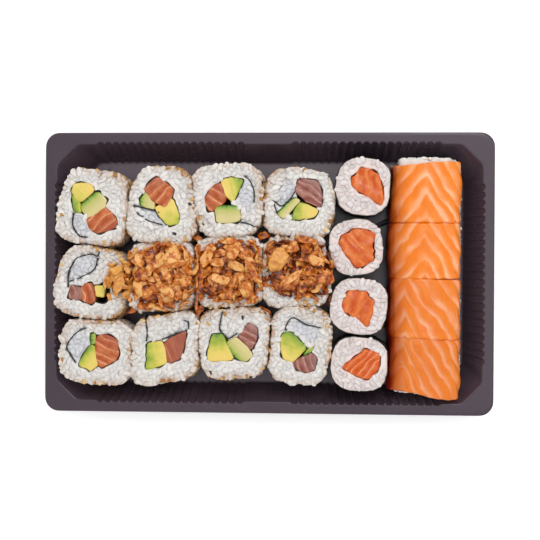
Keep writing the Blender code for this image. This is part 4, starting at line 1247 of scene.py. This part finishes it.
def filling_block(name, kind, way, start, end, outline, foot, top, material):
    """A strip of filling that runs down through the roll, with its cut face on top."""
    middle = average(outline)
    across = Vector((math.cos(way), math.sin(way)))
    along = Vector((-across.y, across.x))
    spans = [(point - middle).dot(across) for point in outline]
    low, high = min(spans), max(spans)
    ridge = FILLING_KINDS[kind][1] * MM
    points, shares, acrosses, alongs = [], [], [], []
    ends = [(0.0, 1.0, None), (0.6, 1.0, 0.0)]
    for inset, inward, drop in (*FILLING_RINGS, *ends):
        ring = outline if inward < 1 else [middle]
        for point in ring:
            arm = (point - middle) * (1 - inward)
            arm *= max(0.0, 1 - inset * MM / max(arm.length, 1e-9)) if inward < 1 else 0.0
            place = (middle + arm).to_3d()
            offset = arm.dot(across)
            place.z = foot if drop is None else top - drop * MM
            if drop is not None and drop < 0.5:
                wave = math.sin(math.tau * (offset + arm.dot(along) * 0.2) / (2.6 * MM))
                place.z += ridge * wave * 0.6 + bumps(place, ridge * 2.5, 4 * MM)
            points.append(place)
            shares.append(start + (end - start) * (offset - low) / (high - low))
            acrosses.append((offset - low) / MM)
            alongs.append(arm.dot(along) / MM)
    faces = capped_faces(len(outline), len(FILLING_RINGS))
    return add_piece(name, points, faces, material, {"share": shares, "across": acrosses, "along": alongs})


def ellipsoid_shape(name, length, width, height, bend, blunt, taper, steps=7, rings=5):
    """A small closed grain or seed lying along X, closed by two points."""
    points = []
    for ring in range(1, rings + 1):
        t = -math.cos(math.pi * ring / (rings + 1))
        girth = (1 - abs(t) ** blunt) ** 0.5 * (1 - taper * t)
        for step in range(steps):
            angle = math.tau * step / steps
            points.append(Vector((t * length / 2, width / 2 * girth * math.cos(angle) + bend * t * t,
                                  height / 2 * girth * math.sin(angle))))
    points += [Vector((-length / 2, bend, 0)), Vector((length / 2, bend, 0))]
    return add_piece(name, points, capped_faces(steps, rings), None)


def rice_shapes(rice):
    length, width = rice.grain_length, rice.grain_width
    shapes = [
        ellipsoid_shape(f"grain_{i}", length * long, width * wide, width * 0.82, bend * MM, 2.8, taper, 6, 4)
        for i, (long, wide, bend, taper) in enumerate(((1.0, 1.0, 0.25, 0.05), (0.88, 1.06, -0.2, 0.12),
                                                       (1.08, 0.94, 0.35, -0.06)))
    ]
    return shape_collection("rice grains", shapes)


def seed_shapes(rice):
    length = rice.seed_length
    shape = ellipsoid_shape("seed", length, length * 0.6, length * 0.28, 0.0, 2.0, 0.35, 6, 4)
    return shape_collection("sesame seeds", [shape])


RICE_LAYS = {  # first seed, lift in mm on the sides and on the cut face, flatness on the cut face, and tilt
    "uramaki": (0, -0.55, -0.31, 0.38, 0.14),
    "hosomaki": (30, -0.5, -0.28, 0.25, 0.05),
    "salmon_roll": (60, -0.3, 0.1, 0.9, 0.3),
}
SESAME_SEED = 40  # first seed of the sesame on the rolls
FLAKE_SEED = 80  # and of the flakes in the heaps and on top of them
TOP_FLAKE_SEED = 90
DENSITY = {"grains": 1500000.0, "seeds": 420000.0, "flakes": 1200000.0}  # tries in a square metre


def lay_rice(core, node, tools, rice, material):
    """Turns the core into one mesh with grains of rice all over it."""
    kind, number = node.rsplit("_", 1)
    seed, lift, cut_lift, flatness, tilt = RICE_LAYS[kind]
    name = f"{node}_rice"
    core.data = through_tree(core, tools["scatter"], name, {
        "Keep Surface": True, "Shapes": tools["grains"], "Shape Count": 3, "Where": "grains",
        "Spacing": rice.grain_spacing, "Density": DENSITY["grains"], "Lift": lift * MM,
        "Lift On Cut": cut_lift * MM, "Flatness On Cut": flatness, "Tilt": tilt, "Smallest": 0.82,
        "Largest": 1.12, "Seed": seed + int(number), "Material": material,
    })
    core.name = name
    return core


def lay_seeds(core, name, tools, material, seed):
    """Sesame seeds stuck to the outside of a roll."""
    return add_object(name, through_tree(core, tools["scatter"], name, {
        "Keep Surface": False, "Shapes": tools["seeds"], "Shape Count": 1, "Where": "seeds",
        "Spacing": 2.0 * MM, "Density": DENSITY["seeds"], "Lift": 0.35 * MM, "Lift On Cut": 0.35 * MM,
        "Flatness On Cut": 1.0, "Tilt": 0.35, "Smallest": 0.85, "Largest": 1.1, "Seed": seed,
        "Material": material,
    }))


def add_fillings(node, shapes, surface, top, materials):
    """Every filling of a roll, each a little higher or lower than the next."""
    draw = random.Random(node)
    for number, (kind, way, start, end, outline) in enumerate(shapes, 1):
        if kind == "air":
            continue
        block = filling_block(f"{node}_{kind}_{number}", kind, way, start, end, outline, surface.low.z,
                              top + draw.uniform(-0.3, 0.5) * MM, materials[kind])
        hand_over(block, FILLING_KINDS[kind][0])


def build_inside_out_roll(number, rice, tools, materials):
    """An inside-out roll: rice grains and sesame outside, seaweed inside, then its fillings."""
    node = f"uramaki_{number:02d}"
    surface = Surface(node)
    shapes = roll_outlines(node, surface)
    outlines = [point for *_, outline in shapes for point in outline]
    origin = average(outlines) if outlines else surface.middle.xy
    top = surface.high.z - 0.75 * MM
    ends = seam_paths(SEAWEED_ENDS, node, surface)
    seams = ends + seam_paths(SPLITS, node, surface)
    fold = [surface.middle.xy + Vector(corner) * MM for corner in FOLDS.get(node, ())]
    holes = hole_reaches(shapes, origin, 0.6 * rice.seaweed) if shapes else [0.0] * ROLL_STEPS
    core = rice_core(node, surface, origin, holes, seams, fold, rice.grain_room, top, 0.65 * MM)
    seeds = lay_seeds(core, f"{node}_sesame", tools, materials["sesame"], SESAME_SEED + number)
    lay_rice(core, node, tools, rice, materials["rice"])
    hand_over(core, "sushi_rice", node)
    hand_over(seeds, "sesame")
    sheets = [seaweed_strip(f"{node}_end_{i}", path, rice.seaweed * 1.3, top, materials["seaweed"])
              for i, path in enumerate(ends)]
    if shapes:
        sheets.append(seaweed_lining(f"{node}_lining", surface, origin, holes, rice.seaweed, top,
                                     materials["seaweed"]))
        hand_over(join_pieces(f"{node}_seaweed", sheets), "seaweed")
    add_fillings(node, shapes, surface, top + 0.1 * MM, materials)


def build_thin_roll(number, rice, tools, materials):
    """A thin roll: seaweed outside, rice that bulges over its edge, and a strip of salmon."""
    node = f"hosomaki_{number}"
    surface = Surface(node)
    shapes = roll_outlines(node, surface)
    origin = average([point for *_, outline in shapes for point in outline])
    top = surface.high.z - 0.45 * MM
    holes = hole_reaches(shapes, origin, 0.1 * MM)
    core = rice_core(node, surface, origin, holes, [], None, rice.seaweed + 0.3 * MM, top, 0.3 * MM,
                     bulge=0.3 * MM, side=0.0)
    lay_rice(core, node, tools, rice, materials["pressed_rice"])
    hand_over(core, "sushi_rice", node)
    wrap = seaweed_wrap(f"{node}_seaweed", surface, origin, rice.seaweed, top, materials["seaweed"])
    hand_over(wrap, "seaweed")
    add_fillings(node, shapes, surface, top + 0.4 * MM, materials)


def seaweed_wrap(name, surface, origin, thickness, top, material):
    """The sheet of seaweed round a thin roll, a little lower than the rice it holds."""
    points = []
    levels = (0.0, 0.25, 0.5, 0.75, 1.0)
    foot = surface.low.z
    for inset, share in [(0.05 * MM, s) for s in levels] + [(0.05 * MM + thickness,
                                                             s) for s in reversed(levels)]:
        for way in directions():
            probe = foot + 0.4 * MM + (top - 3.2 * MM - foot) * share
            distance = surface.reach(Vector((origin.x, origin.y, probe)), way) - inset
            place = Vector((origin.x, origin.y, 0)) + way * distance
            edge = top - 1.2 * MM + bumps(place, 0.6 * MM, 3 * MM)
            place.z = foot + (edge - foot) * share
            points.append(place + way * bumps(place, 0.12 * MM, 4 * MM))
    return add_piece(name, points, ring_faces(ROLL_STEPS, 2 * len(levels), closed=True), material)


# The salmon rolls


SLICE_COLUMNS = 110  # points across a slice
SLICE_ROWS = 60  # points along it
END_ROUNDING = 2.2 * MM  # a roll's solid is narrower this near to its ends
SLICE_RIGHT = math.radians(4)  # where a slice ends on the right and the left, seen from inside its roll
SLICE_LEFT = math.radians(208)
FLANK_SHADE_FROM = math.radians(118)  # where the painted shade on its left side starts to deepen
FLANK_SHADE_TURN = math.radians(46)
SLICE_SEEDS = {f"salmon_roll_{number}": 3.7 * number for number in range(1, 5)}


def slice_centre(surface):
    """Where the rays for a slice and its rice start, less than halfway up the roll."""
    return Vector((surface.middle.x, 0, surface.low.z + 0.42 * (surface.high.z - surface.low.z)))


def within_ends(surface, y):
    """The nearest place along a roll where its solid is still at full girth."""
    return min(max(y, surface.low.y + END_ROUNDING), surface.high.y - END_ROUNDING)


def slice_end(side, angle, reaches, place):
    """How far the slice reaches past its roll's end, with a slightly ragged cut."""
    left, right = reaches
    share = 0.5 + 0.5 * math.cos(min(max(angle, 0.0), math.pi))
    smooth = share * share * (3 - 2 * share)
    ragged = bumps(Vector((place, side * 31.0, 0)), 0.35 * MM, 4 * MM)
    return (left + (right - left) * smooth) * MM + ragged


def arc_lengths(points):
    """How far each point lies along the line through them all."""
    lengths = [0.0]
    for before, after in zip(points, points[1:]):
        lengths.append(lengths[-1] + (after - before).length)
    return lengths


def build_slice(node, surface, salmon, material):
    """A slice of salmon laid over its roll, from its right side over the top and down its left side."""
    tip_across, tip_along, steep, slack, far_reach, near_reach, _, overall_darkening = SLICES[node]
    centre = slice_centre(surface)
    angles = [SLICE_RIGHT + (SLICE_LEFT - SLICE_RIGHT) * i / (SLICE_COLUMNS - 1)
              for i in range(SLICE_COLUMNS)]
    ways = [Vector((math.cos(angle), 0, math.sin(angle))) for angle in angles]
    middle = centre + Vector((0, surface.middle.y, 0))
    lengths = arc_lengths([middle + surface.reach(middle, way) * way for way in ways])
    crown = lengths[min(range(len(angles)), key=lambda i: abs(angles[i] - math.pi / 2))]
    points, phases, flank_shades = [], [], []
    for column, (angle, way, length) in enumerate(zip(angles, ways, lengths)):
        far = surface.high.y + slice_end(1, angle, far_reach, length)
        near = surface.low.y - slice_end(-1, angle, near_reach, length)
        across = (crown - length) / MM
        closeness = min(column, SLICE_COLUMNS - 1 - column) / 4
        thin = math.sin(min(1.0, 0.25 + closeness) * math.pi / 2)
        outer, inner = [], []
        for row in range(SLICE_ROWS):
            share = row / (SLICE_ROWS - 1)
            y = near + (far - near) * share
            edge = min(share, 1 - share) * (far - near)
            round_off = 1 - math.sqrt(max(0.0, 1 - (1 - min(1.0, edge / (1.1 * MM))) ** 2))
            origin = Vector((centre.x, within_ends(surface, y), centre.z))
            distance = surface.reach(origin, way) - 0.9 * MM * round_off - 0.1 * MM
            base = Vector((centre.x, y, centre.z))
            warp = Vector((across / 14, y / MM / 14, SLICE_SEEDS[node]))
            bent = 2.2 * noise.noise(warp) + 1.0 * noise.noise(warp * 2.6)
            phase = marbling_phase(across - tip_across, y / MM - tip_along + bent, steep, slack,
                                   salmon.marbling / MM)
            relief = 0.2 * MM * math.cos(math.tau * phase) + bumps(base + way * distance, 0.9 * MM, 10 * MM)
            outer.append((base + way * (distance + relief), phase))
            inner.append((base + way * (distance - salmon.thickness * thin), phase))
        for place, phase in [*outer, *reversed(inner)]:
            points.append(place)
            phases.append(phase)
            # Painted shade on the left side, plus the slice's overall darkening
            flank_shades.append(0.97 * smooth_step((angle - FLANK_SHADE_FROM) / FLANK_SHADE_TURN) + overall_darkening)
    count = 2 * SLICE_ROWS
    points += [average(points[:count]), average(points[-count:])]
    phases += [phases[0], phases[-1]]
    flank_shades += [flank_shades[0], flank_shades[-1]]
    return add_piece(f"{node}_slice", points, capped_faces(count, SLICE_COLUMNS), material,
                     {"marbling": phases, "flank_shade": flank_shades})


def marbling_phase(across, along, steep, slack, spacing):
    """How many lines of fat lie between a point and the tips: the lines run down and away on both sides."""
    if across < 0:
        fall = 1.2 * -across
    else:
        fall = slack * across + (steep - slack) * 6.0 * (1 - math.exp(-across / 6.0))
    rounded = math.sqrt(fall * fall + 0.8)
    return (along + rounded) / spacing


END_LOW = 10 * MM  # below this height a far end keeps inside its solid, clear of the tray's leaning wall
END_RISE = 6 * MM
END_INSET = 1.2 * MM
BARE_FOOT = 1.6 * FOOT_MARGIN  # no grain starts lower
UNDER_STEPS = 110  # points round the rice
UNDER_STATIONS = 26  # rings along it


def build_under_rice(node, surface, salmon, rice, tools, material):
    """The rice under a slice, bare at both ends and under the slice's right edge."""
    centre = slice_centre(surface)
    points, grains, cuts = [], [], []
    low, high = surface.low.y + 0.9 * MM, surface.high.y + SLICES[node][6] * MM
    rings = [(low, 0.0, 1.0), (low, 0.35, 1.0), (low, 0.7, 1.0), (low, 0.93, 1.0)]
    rings += [(low + 0.6 * MM + (high - low - 1.2 * MM) * i / (UNDER_STATIONS - 1), 1.0, 0.0)
              for i in range(UNDER_STATIONS)]
    rings += [(high, 0.93, 1.0), (high, 0.7, 1.0), (high, 0.35, 1.0), (high, 0.0, 1.0)]
    for y, share, cut in rings[1:-1]:
        for step in range(UNDER_STEPS):
            angle = math.tau * step / UNDER_STEPS
            way = Vector((math.cos(angle), 0, math.sin(angle)))
            covered = SLICE_RIGHT < angle < SLICE_LEFT
            room = salmon.thickness + 0.1 * MM if covered else rice.grain_room
            distance = (surface.reach(Vector((centre.x, within_ends(surface, y), centre.z)),
                                      way) - room) * share
            place = Vector((centre.x, y, centre.z)) + way * distance
            place += way * bumps(place, 0.4 * MM, 3 * MM) * (1 - cut)
            place.z = max(place.z, surface.low.z)
            end = 1 if y > surface.middle.y else -1
            risen = smooth_step((place.z - END_LOW) / END_RISE) if end > 0 else 0.0
            sunk = END_INSET * (1 - risen) - SLICES[node][6] * MM * risen
            inner = Vector((place.x, surface.middle.y, max(place.z, surface.low.z + 0.5 * MM)))
            wall = surface.reach(inner, Vector((0, end, 0))) - sunk
            place.y = inner.y + end * min(end * (place.y - inner.y), wall)
            points.append(place)
            bare = place.z > surface.low.z + BARE_FOOT
            grains.append(1.0 if (cut or not covered) and bare else 0.0)
            cuts.append(cut)
    points += [Vector((centre.x, low, centre.z)), Vector((centre.x, high, centre.z))]
    grains += [1.0, 1.0]
    cuts += [1.0, 1.0]
    # A low tone paints the core between the grains darker, as shade in the crevices
    core = add_piece(f"{node}_core", points, capped_faces(UNDER_STEPS, len(rings) - 2), None,
                     {"grains": grains, "cut": cuts, "tone": [0.25] * len(points)})
    return lay_rice(core, node, tools, rice, material)


def build_salmon_roll(number, rice, salmon, tools, materials):
    node = f"salmon_roll_{number}"
    surface = Surface(node)
    slab = build_slice(node, surface, salmon, materials["slice"])
    hand_over(slab, "raw_salmon", node)
    under = build_under_rice(node, surface, salmon, rice, tools, materials["rice"])
    hand_over(under, "sushi_rice")


# The fried onion


FLAKE_SHAPES = 16
SHREDS = 3  # how many of them are long and thin
FLAKE_STEPS, FLAKE_RINGS = 10, 9
LOOSE_THICK = 1.6 * MM
HEAP_STEPS, HEAP_RINGS = 56, 14
HEAP_TONES = (0.0, -0.06, -0.3, 1.2)  # how golden each heap is
CRUMPLE_SEED = 5  # vector noise starts from the clock without one
# Flakes that stand out: centre in mm, length, width, turn in degrees and tone, where 2 is soft and golden
LOOSE_FLAKES = {
    "fried_onion_1": ((-36.6, -13.0, 30.5, 17.0, 2.2, 84, 0.25), (-52.5, -8.5, 35.5, 12.0, 4.4, -38, 0.8),
                      (-61.0, 2.0, 35.0, 8.5, 4.2, 75, 0.75), (-47.0, 4.5, 35.5, 12.0, 3.6, 12, 0.7),
                      (-71.5, -20.0, 24.5, 7.5, 3.8, 30, 0.2), (-36.3, 18.0, 24.5, 7.0, 3.6, -40, 0.35)),
    "fried_onion_2": ((-24.0, -3.5, 35.5, 11.0, 4.8, -8, 0.95), (-15.0, 3.5, 36.0, 9.0, 4.4, -25, 1.5),
                      (-6.0, 0.5, 35.5, 13.0, 3.4, -62, 0.6), (-33.8, -3.0, 34.5, 15.0, 2.2, 88, 0.15),
                      (-36.0, -20.2, 24.5, 7.5, 3.8, 60, 0.25), (-2.0, 19.8, 24.5, 7.5, 4.0, 20, 0.35)),
    "fried_onion_3": ((6.5, 7.0, 36.0, 14.0, 9.0, 60, 1.7), (26.0, 6.5, 36.0, 9.0, 5.0, -20, 0.9),
                      (13.0, -2.5, 36.0, 15.0, 3.6, 38, 0.85), (27.0, -6.5, 33.5, 9.0, 4.2, 55, 1.4),
                      (-1.4, -20.2, 24.5, 7.5, 3.8, -30, 0.3), (34.0, -14.5, 24.0, 7.0, 3.6, 80, 0.2)),
    "fried_onion_4": ((-77.0, -6.5, 35.0, 10.0, 5.0, 70, 1.6), (-78.5, 1.0, 34.5, 8.0, 4.6, 20, 1.8)),
}


def onion_flake(name, length, width, thick, draw, tone=None):
    """One crisp flake: a crumpled, curled petal with blisters and a ragged edge."""
    curl, cup = draw.uniform(-1.4, 2.2) * MM, draw.uniform(0.2, 1.2) * MM
    twist, sway = draw.uniform(-0.8, 0.8), draw.uniform(-1.5, 1.5) * MM
    grain = Vector((draw.uniform(0, 90), 0, 0))
    noise.seed_set(CRUMPLE_SEED)
    points = []
    for ring in range(FLAKE_RINGS):
        t = -0.95 + 1.9 * ring / (FLAKE_RINGS - 1)
        girth = (1 - abs(t) ** 3.2) ** 0.5
        for step in range(FLAKE_STEPS):
            angle = math.tau * step / FLAKE_STEPS
            y = width / 2 * girth * math.cos(angle)
            z = thick / 2 * (0.5 + 0.5 * girth) * math.sin(angle) + cup * (2 * y / width) ** 2
            c, s = math.cos(twist * t), math.sin(twist * t)
            place = Vector((t * length / 2, y * c - z * s + sway * t * t, y * s + z * c + curl * t * t))
            crumple = noise.noise_vector(place / (2.2 * MM) + grain) * 0.85 * MM
            points.append(place + crumple)
    points += [Vector((-length / 2, sway, curl)), Vector((length / 2, sway, curl))]
    attributes = {} if tone is None else {"tone": [tone] * len(points)}
    return add_piece(name, points, capped_faces(FLAKE_STEPS, FLAKE_RINGS), None, attributes)


def flake_shapes(onion):
    """Broad flakes, then a few long thin shreds."""
    draw = random.Random(7)
    shapes = []
    for i in range(FLAKE_SHAPES):
        thin = i >= FLAKE_SHAPES - SHREDS
        length = onion.flake_length * (draw.uniform(1.1, 1.7) if thin else draw.uniform(0.6, 1.05))
        width = onion.flake_width * (draw.uniform(0.3, 0.42) if thin else draw.uniform(0.55, 1.0))
        shapes.append(onion_flake(f"flake_{i:02d}", length, width, draw.uniform(0.9, 1.8) * MM, draw))
    return shape_collection("onion flakes", shapes)


def heap_core(name, low, high):
    """The uneven mound under the flakes of one heap."""
    middle, half = (low + high) / 2, (high - low) / 2
    tall = 0.5 * (high.z - low.z)
    points, where = [], []
    for ring in range(HEAP_RINGS):
        share = math.cos(math.pi / 2 * ring / HEAP_RINGS) ** 0.7
        rise = math.sin(math.pi / 2 * ring / HEAP_RINGS)
        for step in range(HEAP_STEPS):
            angle = math.tau * step / HEAP_STEPS
            c, s = math.cos(angle), math.sin(angle)
            reach = (abs(c) ** 4 + abs(s) ** 4) ** (-1 / 4) * 0.93
            reach *= 1 + 0.16 * noise.noise(Vector((1.9 * c + middle.x * 90, 1.9 * s, 0)))
            place = Vector((middle.x + half.x * share * reach * c, middle.y + half.y * share * reach * s, 0))
            mound = 0.75 + 0.6 * noise.noise(place / (8 * MM))
            place.z = low.z - 0.6 * MM + (tall * mound + bumps(place, 0.7 * MM, 2.5 * MM)) * rise
            points.append(place)
            where.append(1.0)
    points += [Vector((middle.x, middle.y, low.z - 0.6 * MM)),
               Vector((middle.x, middle.y, low.z + tall * 0.75))]
    where += [0.0, 1.0]
    return add_piece(name, points, capped_faces(HEAP_STEPS, HEAP_RINGS), None,
                     {"grains": where, "cut": [0.0] * len(points), "tone": [0.05] * len(points)})


def build_heap(number, onion, tools, material):
    """One heap: an uneven mound, a close layer of flakes, looser ones on top, and a few that stand out."""
    node = f"fried_onion_{number}"
    heap = heap_core(f"{node}_core", *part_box(node))
    loose = heap.copy()
    loose.data = heap.data.copy()
    bpy.context.scene.collection.objects.link(loose)
    golden = HEAP_TONES[number - 1]
    for layer, keep, spacing, lift, least, most, pale, seed in (
        (heap, True, onion.spacing, 0.7 * MM, 0.75, 1.15, 0.0, FLAKE_SEED + number),
        (loose, False, onion.spacing * 1.6, 2.0 * MM, 0.9, 1.3, 0.25, TOP_FLAKE_SEED + number),
    ):
        layer.data = through_tree(layer, tools["scatter"], f"{node}_flakes", {
            "Keep Surface": keep, "Shapes": tools["flakes"], "Shape Count": FLAKE_SHAPES, "Where": "grains",
            "Spacing": spacing, "Density": DENSITY["flakes"], "Lift": lift, "Lift On Cut": lift,
            "Flatness On Cut": 1.0, "Tilt": 0.42, "Smallest": least, "Largest": most,
            "Least Tone": golden + pale,
            "Most Tone": 1.0 + 0.7 * golden, "Seed": seed, "Material": material,
        })
    draw = random.Random(node)
    extras = []
    for i, (x, y, z, length, width, turn, tone) in enumerate(LOOSE_FLAKES[node]):
        flake = onion_flake(f"{node}_loose_{i}", length * MM, width * MM, LOOSE_THICK, draw, tone)
        tilt = Euler((draw.uniform(-0.3, 0.3), draw.uniform(-0.15, 0.15), math.radians(turn)))
        flake.data.transform(Matrix.LocRotScale(Vector((x, y, z)) * MM, tilt, None))
        flake.data.materials.append(material)
        extras.append(flake)
    hand_over(join_pieces(f"{node}_flakes", [heap, loose, *extras]), "fried_onion", node)


# Operators


FLOOR_HALF = 4.0
FLOOR_DROP = 0.05 * MM  # how far the floor lies under the tray
LAMP_AIM = Vector((0, 0, 0.02))


def add_lamp(name, place, size, power):
    """A rectangular softbox that looks at the middle of the tray."""
    light = bpy.data.lights.new(name, "AREA")
    light.shape = "RECTANGLE"
    light.size, light.size_y = size
    light.energy = power
    lamp = add_object(name, light)
    lamp.location = place
    lamp.rotation_euler = (LAMP_AIM - lamp.location).to_track_quat("-Z", "Y").to_euler()


FISH = {  # name, deep flesh, flesh, pale flesh, fat, dulled flesh, mm from line to line, roughness
    "salmon": ("raw salmon strip", "#a2451a", "#c66630", "#d98752", "#ecb690", "#9c5440", 4.4, 0.32),
    "bright_salmon": ("raw salmon batten", "#c24806", "#e06c1a", "#ea9456", "#e4803e", "#d2601c", 6.5, 0.26),
    "lined_salmon": ("raw salmon batten with fat lines", "#c24a08", "#dc6418", "#e67a36", "#f4b48a",
                     "#cc5210", 3.2, 0.26),
    "tuna": ("raw tuna strip", "#7c4238", "#a06050", "#b98476", "#cfa99b", "#93706c", 3.4, 0.32),
}


def make_materials(context):
    """The finishes that more than one piece shares, made once."""
    rice, salmon = context.scene.sushi_rice, context.scene.sushi_salmon
    return {
        "rice": boiled_rice("boiled rice", "#dcd7d2", rice.colour, "#ece6df", "#a87230"),
        "pressed_rice": boiled_rice("pressed boiled rice", "#decec9", "#e6d7d2", "#efe3df", "#54443a"),
        "seaweed": roasted_seaweed(),
        "sesame": sesame_seeds(),
        "avocado": ripe_avocado(),
        "cucumber": fresh_cucumber(),
        **{kind: raw_fish(*values) for kind, values in FISH.items()},
        "slice": salmon_slice(salmon),
        "onion": fried_onion_flakes(context.scene.sushi_onion),
    }


def make_tools(context):
    """The scatter tree and the small shapes that it lays."""
    rice = context.scene.sushi_rice
    return {
        "scatter": scatter_tree(),
        "grains": rice_shapes(rice),
        "seeds": seed_shapes(rice),
        "flakes": flake_shapes(context.scene.sushi_onion),
    }


SHARED = {}


def shared(context, name):
    """The materials or the tools, made the first time that an operator asks for them."""
    makers = {"materials": make_materials, "tools": make_tools}
    if name not in SHARED:
        SHARED[name] = makers[name](context)
    return SHARED[name]


class SUSHI_OT_tray(bpy.types.Operator):
    """Moulds the black tray"""

    bl_idname = "sushi.tray"
    bl_label = "Moulded Tray"

    def execute(self, context):
        settings = context.scene.sushi_tray
        build_moulded_tray(settings, black_plastic(settings))
        return {"FINISHED"}


class SUSHI_OT_inside_out_rolls(bpy.types.Operator):
    """Builds the inside-out rolls with their rice, seaweed, fillings and sesame"""

    bl_idname = "sushi.inside_out_rolls"
    bl_label = "Inside-out Rolls"

    def execute(self, context):
        for number in range(1, 13):
            build_inside_out_roll(number, context.scene.sushi_rice, shared(context, "tools"),
                                  shared(context, "materials"))
        return {"FINISHED"}


class SUSHI_OT_thin_rolls(bpy.types.Operator):
    """Builds the thin rolls wrapped in seaweed"""

    bl_idname = "sushi.thin_rolls"
    bl_label = "Thin Rolls"

    def execute(self, context):
        for number in range(1, 5):
            build_thin_roll(number, context.scene.sushi_rice, shared(context, "tools"),
                            shared(context, "materials"))
        return {"FINISHED"}


class SUSHI_OT_salmon_rolls(bpy.types.Operator):
    """Builds the rolls with a slice of salmon over them"""

    bl_idname = "sushi.salmon_rolls"
    bl_label = "Salmon Rolls"

    def execute(self, context):
        scene = context.scene
        for number in range(1, 5):
            build_salmon_roll(number, scene.sushi_rice, scene.sushi_salmon, shared(context, "tools"),
                              shared(context, "materials"))
        return {"FINISHED"}


class SUSHI_OT_fried_onion(bpy.types.Operator):
    """Heaps the fried onion on the middle row"""

    bl_idname = "sushi.fried_onion"
    bl_label = "Fried Onion"

    def execute(self, context):
        for number in range(1, 5):
            build_heap(number, context.scene.sushi_onion, shared(context, "tools"),
                       shared(context, "materials")["onion"])
        return {"FINISHED"}


class SUSHI_OT_clear_tools(bpy.types.Operator):
    """Removes the small shapes that were only there to be scattered"""

    bl_idname = "sushi.clear_tools"
    bl_label = "Clear Loose Shapes"

    def execute(self, context):
        tools = SHARED.pop("tools")
        for name in ("grains", "seeds", "flakes"):
            remove_collection(tools[name])
        return {"FINISHED"}


class SUSHI_OT_stage(bpy.types.Operator):
    """Sets up the floor, the lights and the camera overhead"""

    bl_idname = "sushi.stage"
    bl_label = "Stage"

    def execute(self, context):
        scene, settings = context.scene, context.scene.sushi_stage
        corners = [(x * FLOOR_HALF, y * FLOOR_HALF, -FLOOR_DROP) for x,
                   y in ((-1, -1), (1, -1), (1, 1), (-1, 1))]
        mesh = bpy.data.meshes.new("floor")
        mesh.from_pydata(corners, [], [(0, 1, 2, 3)])
        mesh.materials.append(light_table())
        add_object("floor", mesh)
        add_lamp("softbox", (0.4, 0.42, 1.4), (1.3, 1.3), settings.softbox_power)
        add_lamp("small softbox", (0.25, 0.6, 1.15), (0.3, 0.3), settings.key_power)
        world = bpy.data.worlds.new("studio")
        world.use_nodes = True
        sky = world.node_tree.nodes["Background"]
        sky.inputs["Color"].default_value = (1.0, 1.0, 1.0, 1.0)
        sky.inputs["Strength"].default_value = settings.sky
        scene.world = world
        camera = add_object("camera", bpy.data.cameras.new("camera"))
        camera.location = settings.camera_place
        camera.rotation_euler = settings.camera_turn
        camera.data.lens = settings.lens
        camera.data.sensor_width = 36
        camera.data.clip_start = 0.01
        scene.camera = camera
        scene.view_settings.view_transform = "Standard"
        return {"FINISHED"}


class SUSHI_PT_panel(bpy.types.Panel):
    """Lists the steps that build the tray of sushi."""

    bl_label = "Sushi Tray"
    bl_idname = "SUSHI_PT_panel"
    bl_space_type = "VIEW_3D"
    bl_region_type = "UI"
    bl_category = "Sushi Tray"

    def draw(self, context):
        for operator in OPERATORS:
            self.layout.operator(operator.bl_idname)
        for group in SETTINGS:
            settings = getattr(context.scene, group)
            box = self.layout.box()
            for name in settings.bl_rna.properties.keys():
                if name not in ("rna_type", "name"):
                    box.prop(settings, name)


SETTINGS = {
    "sushi_tray": SushiTraySettings,
    "sushi_rice": SushiRiceSettings,
    "sushi_salmon": SushiSalmonSettings,
    "sushi_onion": SushiOnionSettings,
    "sushi_stage": SushiStageSettings,
}
OPERATORS = (
    SUSHI_OT_tray, SUSHI_OT_inside_out_rolls, SUSHI_OT_thin_rolls, SUSHI_OT_salmon_rolls,
    SUSHI_OT_fried_onion, SUSHI_OT_clear_tools, SUSHI_OT_stage,
)


def register():
    for group in (*SETTINGS.values(), *OPERATORS, SUSHI_PT_panel):
        bpy.utils.register_class(group)
    for name, group in SETTINGS.items():
        setattr(bpy.types.Scene, name, bpy.props.PointerProperty(type=group))


def unregister():
    for name in SETTINGS:
        delattr(bpy.types.Scene, name)
    for group in reversed((*SETTINGS.values(), *OPERATORS, SUSHI_PT_panel)):
        bpy.utils.unregister_class(group)


def main():
    register()
    bpy.ops.sushi.tray()
    bpy.ops.sushi.inside_out_rolls()
    bpy.ops.sushi.thin_rolls()
    bpy.ops.sushi.salmon_rolls()
    bpy.ops.sushi.fried_onion()
    bpy.ops.sushi.clear_tools()
    bpy.ops.sushi.stage()


if __name__ == "__main__":
    main()
